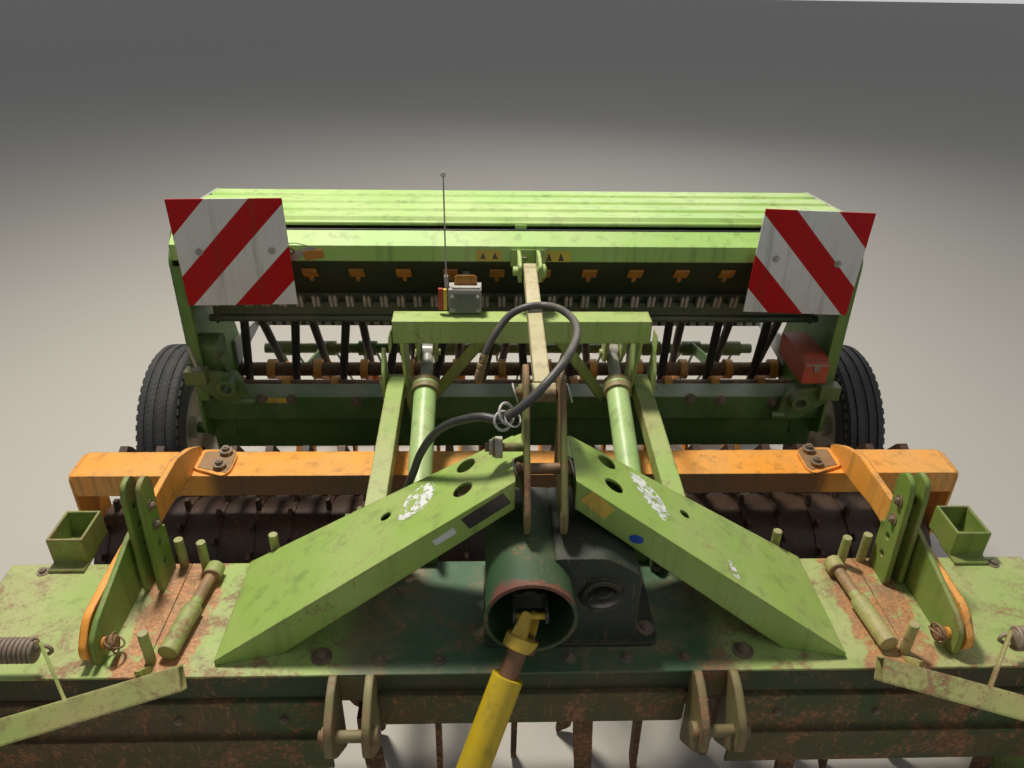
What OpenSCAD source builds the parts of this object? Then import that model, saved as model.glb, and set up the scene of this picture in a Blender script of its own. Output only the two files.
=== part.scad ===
// Seed drill carried on a power harrow: harrow, packer roller, lift frame and three metre drill.
// X runs across the machine, +Y points to the rear and Z = 0 is the ground.

/* [Machine] */
// Working width over the roller beam, the side plates and the drill wheels
work_w = 3000; // [2800:10:3200]
// Distance between neighbouring roller rings
ring_pitch = 125; // [110:1:140]
// Distance between neighbouring coulters
coulter_pitch = 100; // [90:1:120]
// Diameter of the pins in the lift and hitch eyes
pin_d = 30; // [22:1:34]
// Play between a pin and its eye
pin_play = 0.3; // [0.2:0.1:1]

/* [Harrow] */
// Height of the top of the deck plates
deck_top = 678; // [650:1:720]
// Depth of the deck from front to rear
deck_depth = 374; // [350:1:400]
// Distance from the deck to the roller beam behind it
deck_gap = 401; // [380:1:430]
// Thickness of the deck plates
deck_t = 6; // [4:0.5:10]
// Width of the middle deck plate
deck_mid_w = 1940; // [1800:10:2100]
// Height of the gear trough under the deck plates
trough_h = 178; // [150:1:200]
// Depth of the gear trough's floor
trough_floor = 230; // [200:1:260]
// Radius that a rotor's tines sweep
tine_sweep = 128; // [110:1:138]
// Thickness of a tine
tine_t = 16; // [10:1:22]
// Height of a tine's tip above the ground
tine_tip = 6; // [4:1:40]
// Thickness of the side plates
side_plate_t = 8; // [5:1:14]
// Height of the hitch pins on the lower brackets
hitch_z = 584; // [560:1:620]
// Distance between the two hitch points
hitch_w = 904; // [820:1:1000]
// Clear gap between the two plates of a hitch bracket
hitch_gap = 70; // [56:1:90]
// Thickness of a hitch bracket's plates
hitch_t = 20; // [14:1:26]

/* [Headstock] */
// Height of the headstock legs' upper face at the apex
apex_z = 1130; // [1080:5:1180]
// Distance from the middle to the outer foot of a headstock leg
leg_foot = 825; // [780:5:860]
// Vertical thickness of a leg at the apex
leg_h = 84; // [70:1:110]
// Wall of the folded legs
leg_wall = 8; // [5:0.5:10]
// Clear gap between the two upright headstock plates
head_gap = 76; // [70:1:90]
// Thickness of an upright headstock plate
head_t = 14; // [10:1:18]
// Diameter of the tractor's top link pin
top_pin_d = 25.4; // [22:0.1:32]
// Height of the tractor's top link pin
top_pin_z = 1122; // [1112:1:1132]
// Diameter of the splined bore at the cardan shaft's tractor end
spline_d = 34.9; // [30:0.1:45]

/* [Drive] */
// Height of the input shaft
pto_z = 880; // [860:1:900]
// Distance of the input shaft from the middle plane, to the left
pto_x = -16; // [-30:1:0]
// Outer diameter of the fixed guard round the input shaft
guard_d = 214; // [190:1:230]
// Wall of the fixed guard
guard_wall = 5; // [3:0.5:8]
// Angle by which the parked cardan shaft hangs down
pto_drop = 49; // [46:0.5:54]
// Angle by which the parked cardan shaft points to the left
pto_side = 34; // [20:1:40]
// Diameter of the cardan shaft's sleeve guard
sleeve_d = 76; // [66:1:90]

/* [Roller] */
// Outer diameter over the roller's teeth
roller_d = 500; // [470:2:520]
// Diameter of the roller's drum
drum_d = 412; // [380:2:430]
// Number of teeth on one ring
ring_teeth = 14; // [10:1:18]
// Thickness of a tooth
ring_t = 14; // [8:1:20]
// Diameter of the roller's stub shafts
stub_d = 50; // [40:1:60]
// Depth of the roller beam
beam_d = 138; // [120:1:150]
// Height of the roller beam
beam_h = 82; // [70:1:100]
// Height of the top of the roller beam
beam_top = 696; // [680:1:720]
// Thickness of the roller's arms
arm_t = 20; // [12:1:25]
// Clearance between the scrapers and the drum
scraper_gap = 15; // [7:0.5:18]

/* [Lift] */
// Length of a lower lift arm between its eyes, measured along Y
lift_run = 700; // [680:1:720]
// Rise of a lower lift arm from its front eye to its rear eye
lift_rise = 45; // [20:1:80]
// Height of the lower lift arms' front eyes
lift_z = 790; // [775:1:805]
// Vertical distance from the lower arms to the upper link
link_gap = 465; // [440:1:480]
// Size of a lower lift arm's square tube
arm_sq = 60; // [50:1:64]
// Size of the upper link's square tube
link_sq = 42; // [38:1:56]
// Outer diameter of a lift cylinder
ram_d = 76; // [64:1:84]
// Diameter of a lift cylinder's rod
ram_rod_d = 42; // [34:1:48]

/* [Drill] */
// Width of the hopper
hopper_w = 2400; // [2300:10:2450]
// Sheet thickness of the hopper
hopper_t = 5; // [3:0.5:8]
// Height of the hopper's front rim
hopper_top = 1375; // [1350:5:1420]
// Thickness of the drill's side plates
cheek_t = 12; // [8:1:16]
// Size of the drill's lower cross beam
drill_beam = 100; // [90:1:110]
// Outer diameter of the drill wheels
wheel_d = 730; // [700:5:740]
// Width of a drill wheel's tyre
tyre_w = 165; // [150:1:175]
// Diameter of the wheel axles
axle_d = 50; // [40:1:60]
// Distance between two seed outlets under the hopper
outlet_pitch = 62.5; // [58:0.5:70]
// Diameter of a seed tube
tube_d = 34; // [26:1:40]
// Outer diameter of the hydraulic hose
hose_d = 22; // [16:1:26]
// Edge length of a warning board
board = 375; // [340:1:420]
// Thickness of a warning board
board_t = 4; // [3:0.5:8]

/* [Hidden] */
$fn = 48;
eps = 0.01;
half = work_w / 2;
rotor_n = 10;
rotor_pitch = work_w / rotor_n;
deck_back = -deck_gap;
deck_front = deck_back - deck_depth;
deck_under = deck_top - deck_t;
trough_y = (deck_front + deck_back) / 2;
trough_low = deck_under - trough_h;
rotor_y = trough_y;
trough_lip = 96;
// Cardan shaft: pivot of its joint, radius of its tractor end and its length to the ground
pto_y = deck_front - 15;
guard_y1 = deck_front + 275;
fork_r = 42;
pto_len = (pto_z - fork_r * cos(pto_drop)) / sin(pto_drop);
pto_dir = [-cos(pto_drop) * sin(pto_side), -cos(pto_drop) * cos(pto_side), -sin(pto_drop)];
// Roller
roller_y = 120;
roller_z = roller_d / 2;
ring_n = floor((work_w - 100) / ring_pitch) + 1;
beam_low = beam_top - beam_h;
end_t = 10;
// Inner face of the side plates, with a hair's play
side_x = half - 4 - side_plate_t - pin_play;
bracket_x = leg_foot + 187;
spring_y = deck_front + 5;
spring_z = deck_top + 83;
drum_w = work_w - 2 * (end_t + 15);
// Lift linkage, a parallelogram: lower arms A to B, upper link C to D
lift_x = 445;
a_y = -330;
a_z = lift_z;
b_y = a_y + lift_run;
b_z = a_z + lift_rise;
c_y = -390;
c_z = a_z + link_gap;
d_y = c_y + lift_run;
d_z = c_z + lift_rise;
arm_len = norm([lift_run, lift_rise]);
arm_rise = atan2(lift_rise, lift_run);
// Lift cylinders from P on the harrow to the rod eye at E on the drill
ram_x = 325;
p_y = a_y - 20;
p_z = a_z - 40;
e_y = b_y - 40;
e_z = b_z + 150;
ram_len = norm([e_y - p_y, e_z - p_z]);
ram_rise = atan2(e_z - p_z, e_y - p_y);
ram_pin = 24;
ram_play = 18;
// Drill
wheel_y = 787;
wheel_z = wheel_d / 2;
cheek_x = hopper_w / 2;
beam_y = b_y + 80;
beam_z = b_z - 209;
outlet_n = floor((hopper_w - 140) / outlet_pitch);
row_n = floor((hopper_w - 80) / coulter_pitch) + 1;
tube_lean = 36;
rim_y = 500;
meter_y = 670;
meter_z = 1000;
lid_y = rim_y + 8;
lid_z = hopper_top + 12;
tip_y = 1020;
bar_y = 740;
bar_gap = 150;
step_y = 1190;
// Tines of the rear harrow, from the coil on the bar to the tip
tail_from = [30, step_y + 140, 470];
tail_to = [60, 1694, 10];
tail_r = 6;
tail_dir = (tail_to - tail_from) / norm(tail_to - tail_from);
// The origin lies under the middle of the machine's outline
front_y = pto_y + pto_len * pto_dir[1] - fork_r * sqrt(1 - pto_dir[1] * pto_dir[1]);
rear_y = tail_to[1] + tail_r * sqrt(1 - tail_dir[1] * tail_dir[1]);
origin_y = -(front_y + rear_y) / 2;

// ---- Helpers ----

function unit(v) = v / norm(v);

// Corners of a closed outline rounded with radius r, n facets each
function rounded(p, r, n = 4) = [
    for (i = [0:len(p) - 1])
        let (b = p[i])
        let (a = p[(i + len(p) - 1) % len(p)])
        let (c = p[(i + 1) % len(p)])
        let (t = min(r, norm(a - b) * 0.45, norm(c - b) * 0.45))
        let (u = b + unit(a - b) * t)
        let (v = b + unit(c - b) * t)
            for (k = [0:n])
                let (s = k / n)
                    u * (1 - s) * (1 - s) + b * 2 * s * (1 - s) + v * s * s
];

module placed() {
    translate([0, origin_y, 0])
        children();
}

// The same piece on both sides of the middle plane
module both() {
    children();
    mirror([1, 0, 0])
        children();
}

// Outline in Y and Z, extruded from x0 to x1
module side_form(points, x0, x1) {
    translate([x0, 0, 0])
        rotate([90, 0, 90])
            linear_extrude(x1 - x0)
                polygon(points);
}

// Outline in X and Z, extruded from y0 to y1
module front_form(points, y0, y1) {
    translate([0, y1, 0])
        rotate([90, 0, 0])
            linear_extrude(y1 - y0)
                polygon(points);
}

// Outline in X and Y, extruded from z0 to z1
module plan_form(points, z0, z1) {
    translate([0, 0, z0])
        linear_extrude(z1 - z0)
            polygon(points);
}

module block(x0, x1, y0, y1, z0, z1) {
    translate([x0, y0, z0])
        cube([x1 - x0, y1 - y0, z1 - z0]);
}

// Round bar along X
module x_bar(y, z, r, x0, x1) {
    translate([x0, y, z])
        rotate([0, 90, 0])
            cylinder(r = r, h = x1 - x0);
}

// Round bar along Y
module y_bar(x, z, r, y0, y1) {
    translate([x, y0, z])
        rotate([-90, 0, 0])
            cylinder(r = r, h = y1 - y0);
}

// Turns +Z into the direction from p to q
module aim(p, q) {
    d = q - p;
    translate(p)
        rotate([0, acos(d[2] / norm(d)), atan2(d[1], d[0])])
            children();
}

module rod(p, q, r) {
    aim(p, q)
        cylinder(r = r, h = norm(q - p));
}

// Flat bar from p to q, a wide and b thick
module flat(p, q, a, b) {
    aim(p, q)
        translate([-a / 2, -b / 2, 0])
            cube([a, b, norm(q - p)]);
}

// ---- Harrow ----

module gear_trough() {
    w = half - 20;
    fy = trough_floor / 2;
    lip = trough_lip;
    outline = [
        [deck_front, deck_under], [deck_front, deck_under - lip + 6],
        [deck_front + 34, deck_under - lip], [trough_y - fy, trough_low],
        [trough_y + fy, trough_low], [deck_back - 34, deck_under - lip],
        [deck_back, deck_under - lip + 6], [deck_back, deck_under]
    ];
    color("olivedrab")
        placed()
            difference() {
                union() {
                    side_form(outline, -w, w);
                    for (i = [0:rotor_n - 1])
                        translate([rotor_x(i), rotor_y, trough_low - 22])
                            cylinder(r = 58, h = 22 + eps);
                    for (x = [-w, w - 12])
                        side_form([
                            [deck_front, deck_under], [deck_front, trough_low + 40],
                            [trough_y - fy, trough_low - 10], [trough_y + fy, trough_low - 10],
                            [deck_back, trough_low + 40], [deck_back, deck_under]
                        ], x, x + 12);
                }
                for (i = [0:rotor_n - 1])
                    translate([rotor_x(i), rotor_y, trough_low - 23])
                        cylinder(d = rotor_shaft + 2 * pin_play, h = 61);
            }
}

rotor_shaft = 44;
hub_h = 84;

function rotor_x(i) = (i - (rotor_n - 1) / 2) * rotor_pitch;

module rotor(i) {
    hub_top = trough_low - 30;
    hub_low = hub_top - hub_h;
    color("saddlebrown")
        placed()
            translate([rotor_x(i), rotor_y, 0]) {
                translate([0, 0, hub_top - eps])
                    cylinder(d = rotor_shaft, h = trough_low + 30 - hub_top);
                translate([0, 0, hub_low])
                    cylinder(r = 74, h = hub_top - hub_low);
                for (a = [0, 180])
                    rotate([0, 0, a + (i % 2) * 90])
                        tine(hub_low + 4);
            }
}

// Knife tine, swept back towards its tip
module tine(top) {
    r = tine_sweep - tine_t - 6;
    wide = 52;
    lean = 22;
    outline = rounded([
        [-wide / 2, top], [-wide / 2, top - 60], [-wide / 2 + lean, tine_tip + 30],
        [wide / 2 + lean - 4, tine_tip], [wide / 2 + 4, top - 90], [wide / 2, top]
    ], 10, 2);
    intersection() {
        side_form(outline, r, r + tine_t);
        cylinder(r = tine_sweep, h = top + 1, $fn = 64);
    }
    block(40, r + tine_t, -wide / 2, wide / 2, top - 44, top + 20);
}

module deck_plates() {
    mid = deck_mid_w / 2;
    color("yellowgreen")
        placed() {
            block(-mid + 1, mid - 1, deck_front - 12, deck_back + 10, deck_under, deck_top);
            both()
                block(mid + 1, half - 20, deck_front - 12, deck_back + 10, deck_under, deck_top);
        }
}

// Sloping front wall of the trough at height z, with a hair's play
function wall_y(z) =
    deck_front + 34 + (deck_under - trough_lip - z) / (trough_h - trough_lip)
    * (trough_y - trough_floor / 2 - deck_front - 34) - pin_play;

// Stone guards in two steps below the front of the trough
module front_guard() {
    y = deck_front - 12;
    low = 330;
    x0 = hitch_w / 2 + 76;
    upper = [
        [wall_y(575), 575], [y, 575], [y - 10, 458], [y - 4, 458], [y + 6, 569], [wall_y(569), 569]
    ];
    lower = [
        [y - 10, 458], [y - 26, 462], [y - 18, low], [y - 10, low], [y - 16, 452], [y - 4, 452],
        [y - 4, 458]
    ];
    color("darkolivegreen")
        placed() {
            both() {
                side_form(upper, x0, half - 34);
                side_form(lower, x0, half - 34);
                for (x = [hitch_w / 2 + 120, 900, half - 160])
                    side_form([
                        [y - 14, low + 20], [y - 8, 458], [y + 2, trough_low + 46],
                        [wall_y(trough_low + 46), trough_low + 46],
                        [wall_y(trough_low), trough_low], [wall_y(trough_low) - 10, trough_low - 20]
                    ], x, x + 10);
            }
            // Folded flange of the middle section
            front_form(rounded([
                [-hitch_w / 2 + 60, deck_under - 180], [hitch_w / 2 - 60, deck_under - 180],
                [hitch_w / 2 - 60, deck_under - 140], [-hitch_w / 2 + 60, deck_under - 140]
            ], 14), y - 6, y);
            block(-hitch_w / 2 + 60, hitch_w / 2 - 60, y - 6, deck_front, deck_under - 146,
                deck_under - 70);
        }
}

// Pairs of plates that take the tractor's lower links
module hitch_brackets() {
    x0 = hitch_w / 2 - hitch_gap / 2 - hitch_t;
    x1 = hitch_w / 2 + hitch_gap / 2;
    y = deck_front - 12;
    hy = y - 104;
    outline = rounded([
        [y, deck_top + 18], [y - 60, deck_top + 6], [hy - 34, hitch_z + 50], [hy - 46, hitch_z - 20],
        [hy - 10, hitch_z - 70], [y, trough_low - 90]
    ], 30);
    color("seagreen")
        placed()
            both() {
                difference() {
                    for (x = [x0, x1])
                        side_form(outline, x, x + hitch_t);
                    x_bar(hy, hitch_z, pin_d / 2 + pin_play, x0 - 1, x1 + hitch_t + 1);
                }
                x_bar(hy, hitch_z, pin_d / 2, x0 - 8, x1 + hitch_t + 20);
                x_bar(hy, hitch_z, pin_d / 2 + 8, x0 - 14, x0 - pin_play);
                x_bar(hy, hitch_z, pin_d / 2 + 8, x1 + hitch_t + pin_play, x1 + hitch_t + 12);
                // Foot that ties both plates to the trough
                block(x0, x1 + hitch_t, y, deck_front - eps, deck_under - 90, deck_under);
            }
}

// ---- Headstock ----

leg_k = 0.623;
leg_in = 74;
head_x = 24;

// One leg's solid, shrunk by t on every side
module leg_solid(t, inner) {
    top = apex_z;
    fall = (apex_z - deck_top) / (leg_foot - inner);
    outline = [
        [leg_foot - t / fall, deck_top], [inner, top - t * 1.2],
        [inner, top - leg_h + t], [leg_foot - leg_h / fall - 40 + t, deck_top]
    ];
    intersection() {
        front_form(outline, deck_front - 5, deck_back + 5);
        plan_form([
            [leg_foot - 26, deck_back - t], [leg_foot - 26, deck_front + 22 + t],
            [inner - 1, deck_back - 196 + t], [inner - 1, deck_back + 1 - t]
        ], deck_top - 1, apex_z + 1);
    }
}

module headstock_legs() {
    holes = [[186, 34], [192, 130], [398, 90]];
    color("yellowgreen")
        placed()
            for (s = [-1, 1])
                mirror([s < 0 ? 1 : 0, 0, 0])
                    let (inner = leg_in + s * head_x)
                    let (side = head_gap / 2 + head_t + s * head_x) {
                        difference() {
                            leg_solid(0, inner);
                            leg_solid(leg_wall, inner);
                            for (h = holes)
                                translate([h[0] + s * head_x / 2, deck_back - h[1], deck_top + 60])
                                    cylinder(r = h[0] > 300 ? 14 : 24, h = apex_z);
                        }
                        // Gusset between the leg's upper end and the upright plate
                        front_form([
                            [side, apex_z - leg_h - 20], [inner + 2, apex_z - leg_h],
                            [inner + 2, apex_z - 2], [side, apex_z + 10]
                        ], deck_back - 100, deck_back - 4);
                    }
}

// Two upright plates that take the tractor's top link in front and the drill's link behind
module headstock_plates() {
    y0 = deck_back;
    py = y0 - 134;
    low = pto_z + guard_d / 2 + 8;
    x1 = head_gap / 2 + head_t;
    outline = rounded([
        [y0 - 250, low + 6], [y0 - 200, low], [y0 + 1, low + 30], [y0 + 4, c_z - 70],
        [y0 + 58, c_z - 20], [y0 + 56, c_z + 54], [y0 + 14, c_z + 84], [y0 - 32, c_z + 70],
        [y0 - 186, top_pin_z + 36], [y0 - 262, low + 66]
    ], 26);
    color("olivedrab")
        placed()
        translate([head_x, 0, 0]) {
            difference() {
                both()
                    side_form(outline, head_gap / 2, x1);
                x_bar(py, top_pin_z, top_pin_d / 2 + pin_play, -x1 - 1, x1 + 1);
                x_bar(py - 80, top_pin_z - 66, top_pin_d / 2 + pin_play, -x1 - 1, x1 + 1);
                x_bar(c_y, c_z, pin_d / 2 + pin_play, -x1 - 1, x1 + 1);
                x_bar(c_y - 20, c_z - 76, 11, -x1 - 1, x1 + 1);
            }
            // Tractor's top link pin with its collar, and the drill link's pin
            x_bar(py, top_pin_z, top_pin_d / 2, -x1 - 20, x1 + 16);
            x_bar(py, top_pin_z, top_pin_d / 2 + 6, x1 + pin_play, x1 + 14);
            x_bar(c_y, c_z, pin_d / 2, -x1 - 16, x1 + 16);
            x_bar(c_y, c_z, pin_d / 2 + 8, x1 + pin_play, x1 + 10);
            x_bar(c_y, c_z, pin_d / 2 + 8, -x1 - 10, -x1 - pin_play);
            // Stud with washers on the left plate, where the spare pin is kept
            x_bar(y0 - 104, apex_z + 36, 11, -x1 - 96, -x1 + 4);
            x_bar(y0 - 104, apex_z + 36, 25, -x1 - 76, -x1 - 52);
            x_bar(y0 - 104, apex_z + 36, 17, -x1 - 86, -x1 - 75);
        }
}

// ---- Drive ----

module gearbox() {
    y0 = deck_front + 75;
    y1 = deck_back - 20;
    bx = 156;
    r = guard_d / 2 + pin_play;
    color("darkslategray")
        placed() {
            plan_form(rounded([
                [-128, y0 - 10], [324, y0 - 10], [324, y1 + 10], [-128, y1 + 10]
            ], 24), deck_top, deck_top + 14);
            difference() {
                union() {
                    front_form(rounded([
                        [40, deck_top + 14], [264, deck_top + 14], [262, deck_top + 240],
                        [176, deck_top + 296], [40, deck_top + 296]
                    ], 20), y0, y1);
                    front_form(rounded([
                        [-112, deck_top + 14], [60, deck_top + 14], [60, deck_top + 296],
                        [-112, deck_top + 296]
                    ], 30), guard_y1, y1);
                }
                y_bar(pto_x, pto_z, r, y0 - 1, guard_y1);
                y_bar(bx + 10, pto_z - 20, 34, y0 - 1, y0 + 12);
            }
            // Round cover with its rim, beside the input shaft
            difference() {
                y_bar(bx + 10, pto_z - 20, 50, y0 - 14, y0 + eps);
                y_bar(bx + 10, pto_z - 20, 38, y0 - 15, y0 + 1);
            }
            // Input shaft with the fork that carries the joint's cross
            y_bar(pto_x, pto_z, 28, pto_y + 50, guard_y1 + eps);
            difference() {
                translate([pto_x, pto_y, pto_z])
                    for (s = [-1, 1])
                        side_form(rounded([[-15, -16], [60, -22], [60, 22],
                            [-15, 16]], 12), s * 38 - 4, s * 38 + 4);
                x_bar(pto_y, pto_z, 8 + pin_play, pto_x - 50, pto_x + 50);
            }
            block(pto_x - 42, pto_x + 42, pto_y + 46, pto_y + 60, pto_z - 22, pto_z + 22);
        }
}

module pto_guard() {
    y0 = deck_front - 26;
    color("darkgreen")
        placed()
            difference() {
                union() {
                    y_bar(pto_x, pto_z, guard_d / 2, y0, guard_y1 - pin_play);
                    y_bar(pto_x, pto_z, guard_d / 2 + 4, y0, y0 + 8);
                }
                y_bar(pto_x, pto_z, guard_d / 2 - guard_wall, y0 - 1, guard_y1 + 1);
            }
}

// Frame of the parked cardan shaft: +Z runs along it from the joint's centre
module along_pto() {
    translate([pto_x, pto_y, pto_z])
        rotate([90 + pto_drop, 0, -pto_side])
            children();
}

// Fork with the joint's cross, inner tube and tractor end
module pto_fork() {
    color("gold")
        placed() {
            x_bar(pto_y, pto_z, 8, pto_x - 41, pto_x + 41);
            along_pto() {
                for (s = [-1, 1])
                    translate([0, s * 26, 0])
                        rotate([90, 0, 0])
                            translate([0, 0, -4])
                                linear_extrude(8)
                                    polygon(rounded([[-11, -11], [11, -11], [22, 62], [-22, 62]], 8));
                rotate([90, 0, 0])
                    translate([0, 0, -30])
                        cylinder(r = 8, h = 60);
                translate([0, 0, 50])
                    cylinder(r = fork_r - 2, h = 30);
                translate([0, 0, 79])
                    cylinder(r = 24, h = pto_len - 79 - 80);
                difference() {
                    translate([0, 0, pto_len - 110])
                        cylinder(r = fork_r, h = 110);
                    translate([0, 0, pto_len - 61])
                        cylinder(d = spline_d, h = 62);
                }
            }
        }
}

module pto_sleeve() {
    color("yellow")
        placed()
            along_pto()
                difference() {
                    union() {
                        translate([0, 0, 148])
                            cylinder(d = sleeve_d, h = 420);
                        translate([0, 0, 560])
                            cylinder(d = sleeve_d + 12, h = pto_len - 560 - 130);
                    }
                    translate([0, 0, 147])
                        cylinder(r = 24.4, h = pto_len);
                }
}

// ---- Deck fittings ----

// Swept plate and the two upright plates with rows of holes, on each side of the deck
module arm_brackets() {
    y0 = deck_back - 104;
    upright = rounded([
        [y0, deck_top], [deck_back - 4, deck_top], [deck_back - 18, deck_top + 210],
        [deck_back - 6, deck_top + 318], [deck_back - 28, deck_top + 352],
        [deck_back - 72, deck_top + 344], [deck_back - 84, deck_top + 300]
    ], 18);
    swept = rounded([
        [deck_front + 18, deck_top], [deck_back - 4, deck_top], [deck_back - 12, deck_top + 170],
        [deck_back - 60, deck_top + 176], [deck_front + 60, deck_top + 108],
        [deck_front + 22, deck_top + 80]
    ], 22);
    color("olivedrab")
        placed()
            both()
                difference() {
                    union() {
                        for (x = [bracket_x, bracket_x + 40])
                            side_form(upright, x, x + 14);
                        side_form(swept, bracket_x + 66, bracket_x + 80);
                        // Rear web that ties the three plates
                        front_form([
                            [bracket_x, deck_top], [bracket_x + 80, deck_top],
                            [bracket_x + 80, deck_top + 160], [bracket_x, deck_top + 160]
                        ], deck_back - 12, deck_back - 2);
                    }
                    for (k = [0:3])
                        x_bar(deck_back - 50, deck_top + 74 + 64 * k, 11, bracket_x - 7, bracket_x + 60);
                    x_bar(deck_front + 60, deck_top + 44, pin_d / 2 + pin_play, bracket_x + 58,
                        bracket_x + 88);
                }
}

// Hinge tubes of the side arms and the short posts beside them
module deck_hinges() {
    r = 19;
    hx = [bracket_x - 94, bracket_x - 126];
    y0 = deck_front + 40;
    y1 = deck_back - 30;
    z = deck_top + r + 6 + pin_play;
    posts = [[-50, 38], [-24, 374], [-90, 362], [-284, deck_depth + 18]];
    color("olivedrab")
        placed()
            both() {
                rod([hx[0], y0, z], [hx[0] - 16, (y0 + y1) / 2, z], r + 5);
                rod([hx[0] - 16, (y0 + y1) / 2, z], [hx[1], y1, z], r - 3);
                rod([hx[1] + 2, y1 - 40, z], [hx[1], y1, z], r + 6);
                for (p = posts)
                    translate([bracket_x + p[0], deck_front + p[1], deck_top])
                        cylinder(r = 13, h = 100);
            }
}

// Square tubes on edge that carry the side plates, with a tab for the spring
module side_arms() {
    sq = 58;
    wall = 5;
    p = [bracket_x - 166, deck_front - 50, deck_top + 46];
    q = [half + 30, deck_front - 262, deck_top - 14];
    color("yellowgreen")
        placed()
            both() {
                difference() {
                    aim(p, q)
                        rotate([0, 0, 45])
                            linear_extrude(norm(q - p))
                                difference() {
                                    square(sq, center = true);
                                    square(sq - 2 * wall, center = true);
                                }
                    block(side_x, half + 200, deck_front - 400, deck_front, deck_top - 200,
                        deck_top + 200);
                }
                // Foot that the arm rests on the deck with
                side_form([
                    [deck_front - 44, deck_top + 20], [deck_front - 10, deck_top + pin_play],
                    [deck_front + 14, deck_top + pin_play], [deck_front + 14, deck_top + 12],
                    [deck_front - 44, deck_top + 60]
                ], bracket_x - 62, bracket_x - 52);
                // Leaning lug that the spring hooks into
                difference() {
                    flat([bracket_x + 94, deck_front - 96, deck_top + 10],
                        [bracket_x + 176, spring_y, spring_z + 22], 46, 8);
                    x_bar(spring_y, spring_z, 6, bracket_x + 138, bracket_x + 188);
                }
            }
}

module side_springs() {
    y = spring_y;
    z = spring_z;
    n = 16;
    x = bracket_x + 192;
    wire = 11;
    coil = [
        for (i = [0:n - 1])
            for (a = [10:40:170])
                [26 + sin(a) * wire / 2, (i + 0.5) * wire - cos(a) * wire / 2]
    ];
    color("rosybrown")
        placed()
            both() {
                translate([x, y, z])
                    rotate([0, 90, 0])
                        rotate_extrude($fn = 32)
                            polygon(concat([[18, 0]], coil, [[18, n * wire]]));
                x_bar(y, z, wire / 2, x - 38, x + 6);
                x_bar(y, z, 20, x - 4, x + 4);
                x_bar(y, z, 20, x + n * wire - 6, x + n * wire + 2);
                x_bar(y, z, wire / 2, x + n * wire, side_x);
            }
}

module side_plates() {
    x1 = half - 4;
    color("olivedrab")
        placed()
            both()
                side_form(rounded([
                    [deck_front - 235, 700], [deck_front - 160, 716], [deck_front - 120, 600],
                    [deck_front - 40, 610], [deck_front - 36, deck_top + 104],
                    [deck_front + 24, deck_top + 104],
                    [deck_front + 34, 580], [deck_back - 20, trough_low + 50],
                    [deck_back + 60, trough_low - 20],
                    [deck_back + 60, 40], [deck_back + 20, 0], [deck_front - 120, 0],
                    [deck_front - 235, 120]
                ], 30), x1 - side_plate_t, x1);
}

// Open boxes behind the deck that take the marker arms
module receptacles() {
    x = bracket_x + 250;
    y = deck_back + 10 + pin_play;
    color("green")
        placed()
            both()
                difference() {
                    union() {
                        block(x, x + 100, y, y + 128, deck_top + 8, deck_top + 92);
                        block(x, x + 100, deck_back - 24, y + 60, deck_top + pin_play, deck_top + 9);
                    }
                    block(x + 7, x + 93, y + 7, y + 121, deck_top + 15, deck_top + 93);
                }
}

// ---- Roller ----

module roller_beam() {
    x1 = half - end_t - eps;
    color("darkorange")
        placed()
            difference() {
                block(-x1, x1, 0, beam_d, beam_low, beam_top);
                block(-x1 - 1, x1 + 1, 7, beam_d - 7, beam_low + 7, beam_top - 7);
            }
}

// End plates of the roller beam, which hold the roller's bearings
module roller_ends() {
    x1 = half;
    color("darkorange")
        placed()
            both()
                difference() {
                    union() {
                        side_form(rounded([
                            [1, beam_top], [beam_d, beam_top], [beam_d + 36, beam_low - 40],
                            [roller_y + 62, roller_z - 30], [roller_y + 30, roller_z - 70],
                            [roller_y - 30, roller_z - 70], [roller_y - 62, roller_z - 30],
                            [0, beam_low - 60]
                        ], 26), x1 - end_t, x1);
                        x_bar(roller_y, roller_z, stub_d / 2 + 26, x1 - end_t - 24, x1);
                    }
                    x_bar(roller_y, roller_z, stub_d / 2 + pin_play, x1 - end_t - 25, x1 + 1);
                }
}

module packer_roller() {
    base = drum_d / 2 - 4;
    tip = roller_d / 2;
    step = 360 / ring_teeth;
    ring = [
        for (i = [0:ring_teeth - 1])
            for (p = [[0, 0], [0.36, 0], [0.42, 1], [0.58, 1], [0.64, 0]])
                let (r = p[1] == 0 ? base + 10 : tip)
                    [r * cos((i + p[0]) * step), r * sin((i + p[0]) * step)]
    ];
    color("maroon")
        placed() {
            difference() {
                x_bar(roller_y, roller_z, drum_d / 2, -drum_w / 2, drum_w / 2);
                for (s = [-1, 1])
                    x_bar(roller_y, roller_z, drum_d / 2 - 8, s * drum_w / 2 - 60, s * drum_w / 2 + 60);
            }
            x_bar(roller_y, roller_z, stub_d / 2, -half + 1, half - 1);
            for (i = [0:ring_n - 1])
                translate([(i - (ring_n - 1) / 2) * ring_pitch - ring_t / 2, roller_y, roller_z])
                    rotate([90, 0, 90])
                        rotate([0, 0, i * step / 2])
                            linear_extrude(ring_t)
                                polygon(ring);
        }
}

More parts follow.
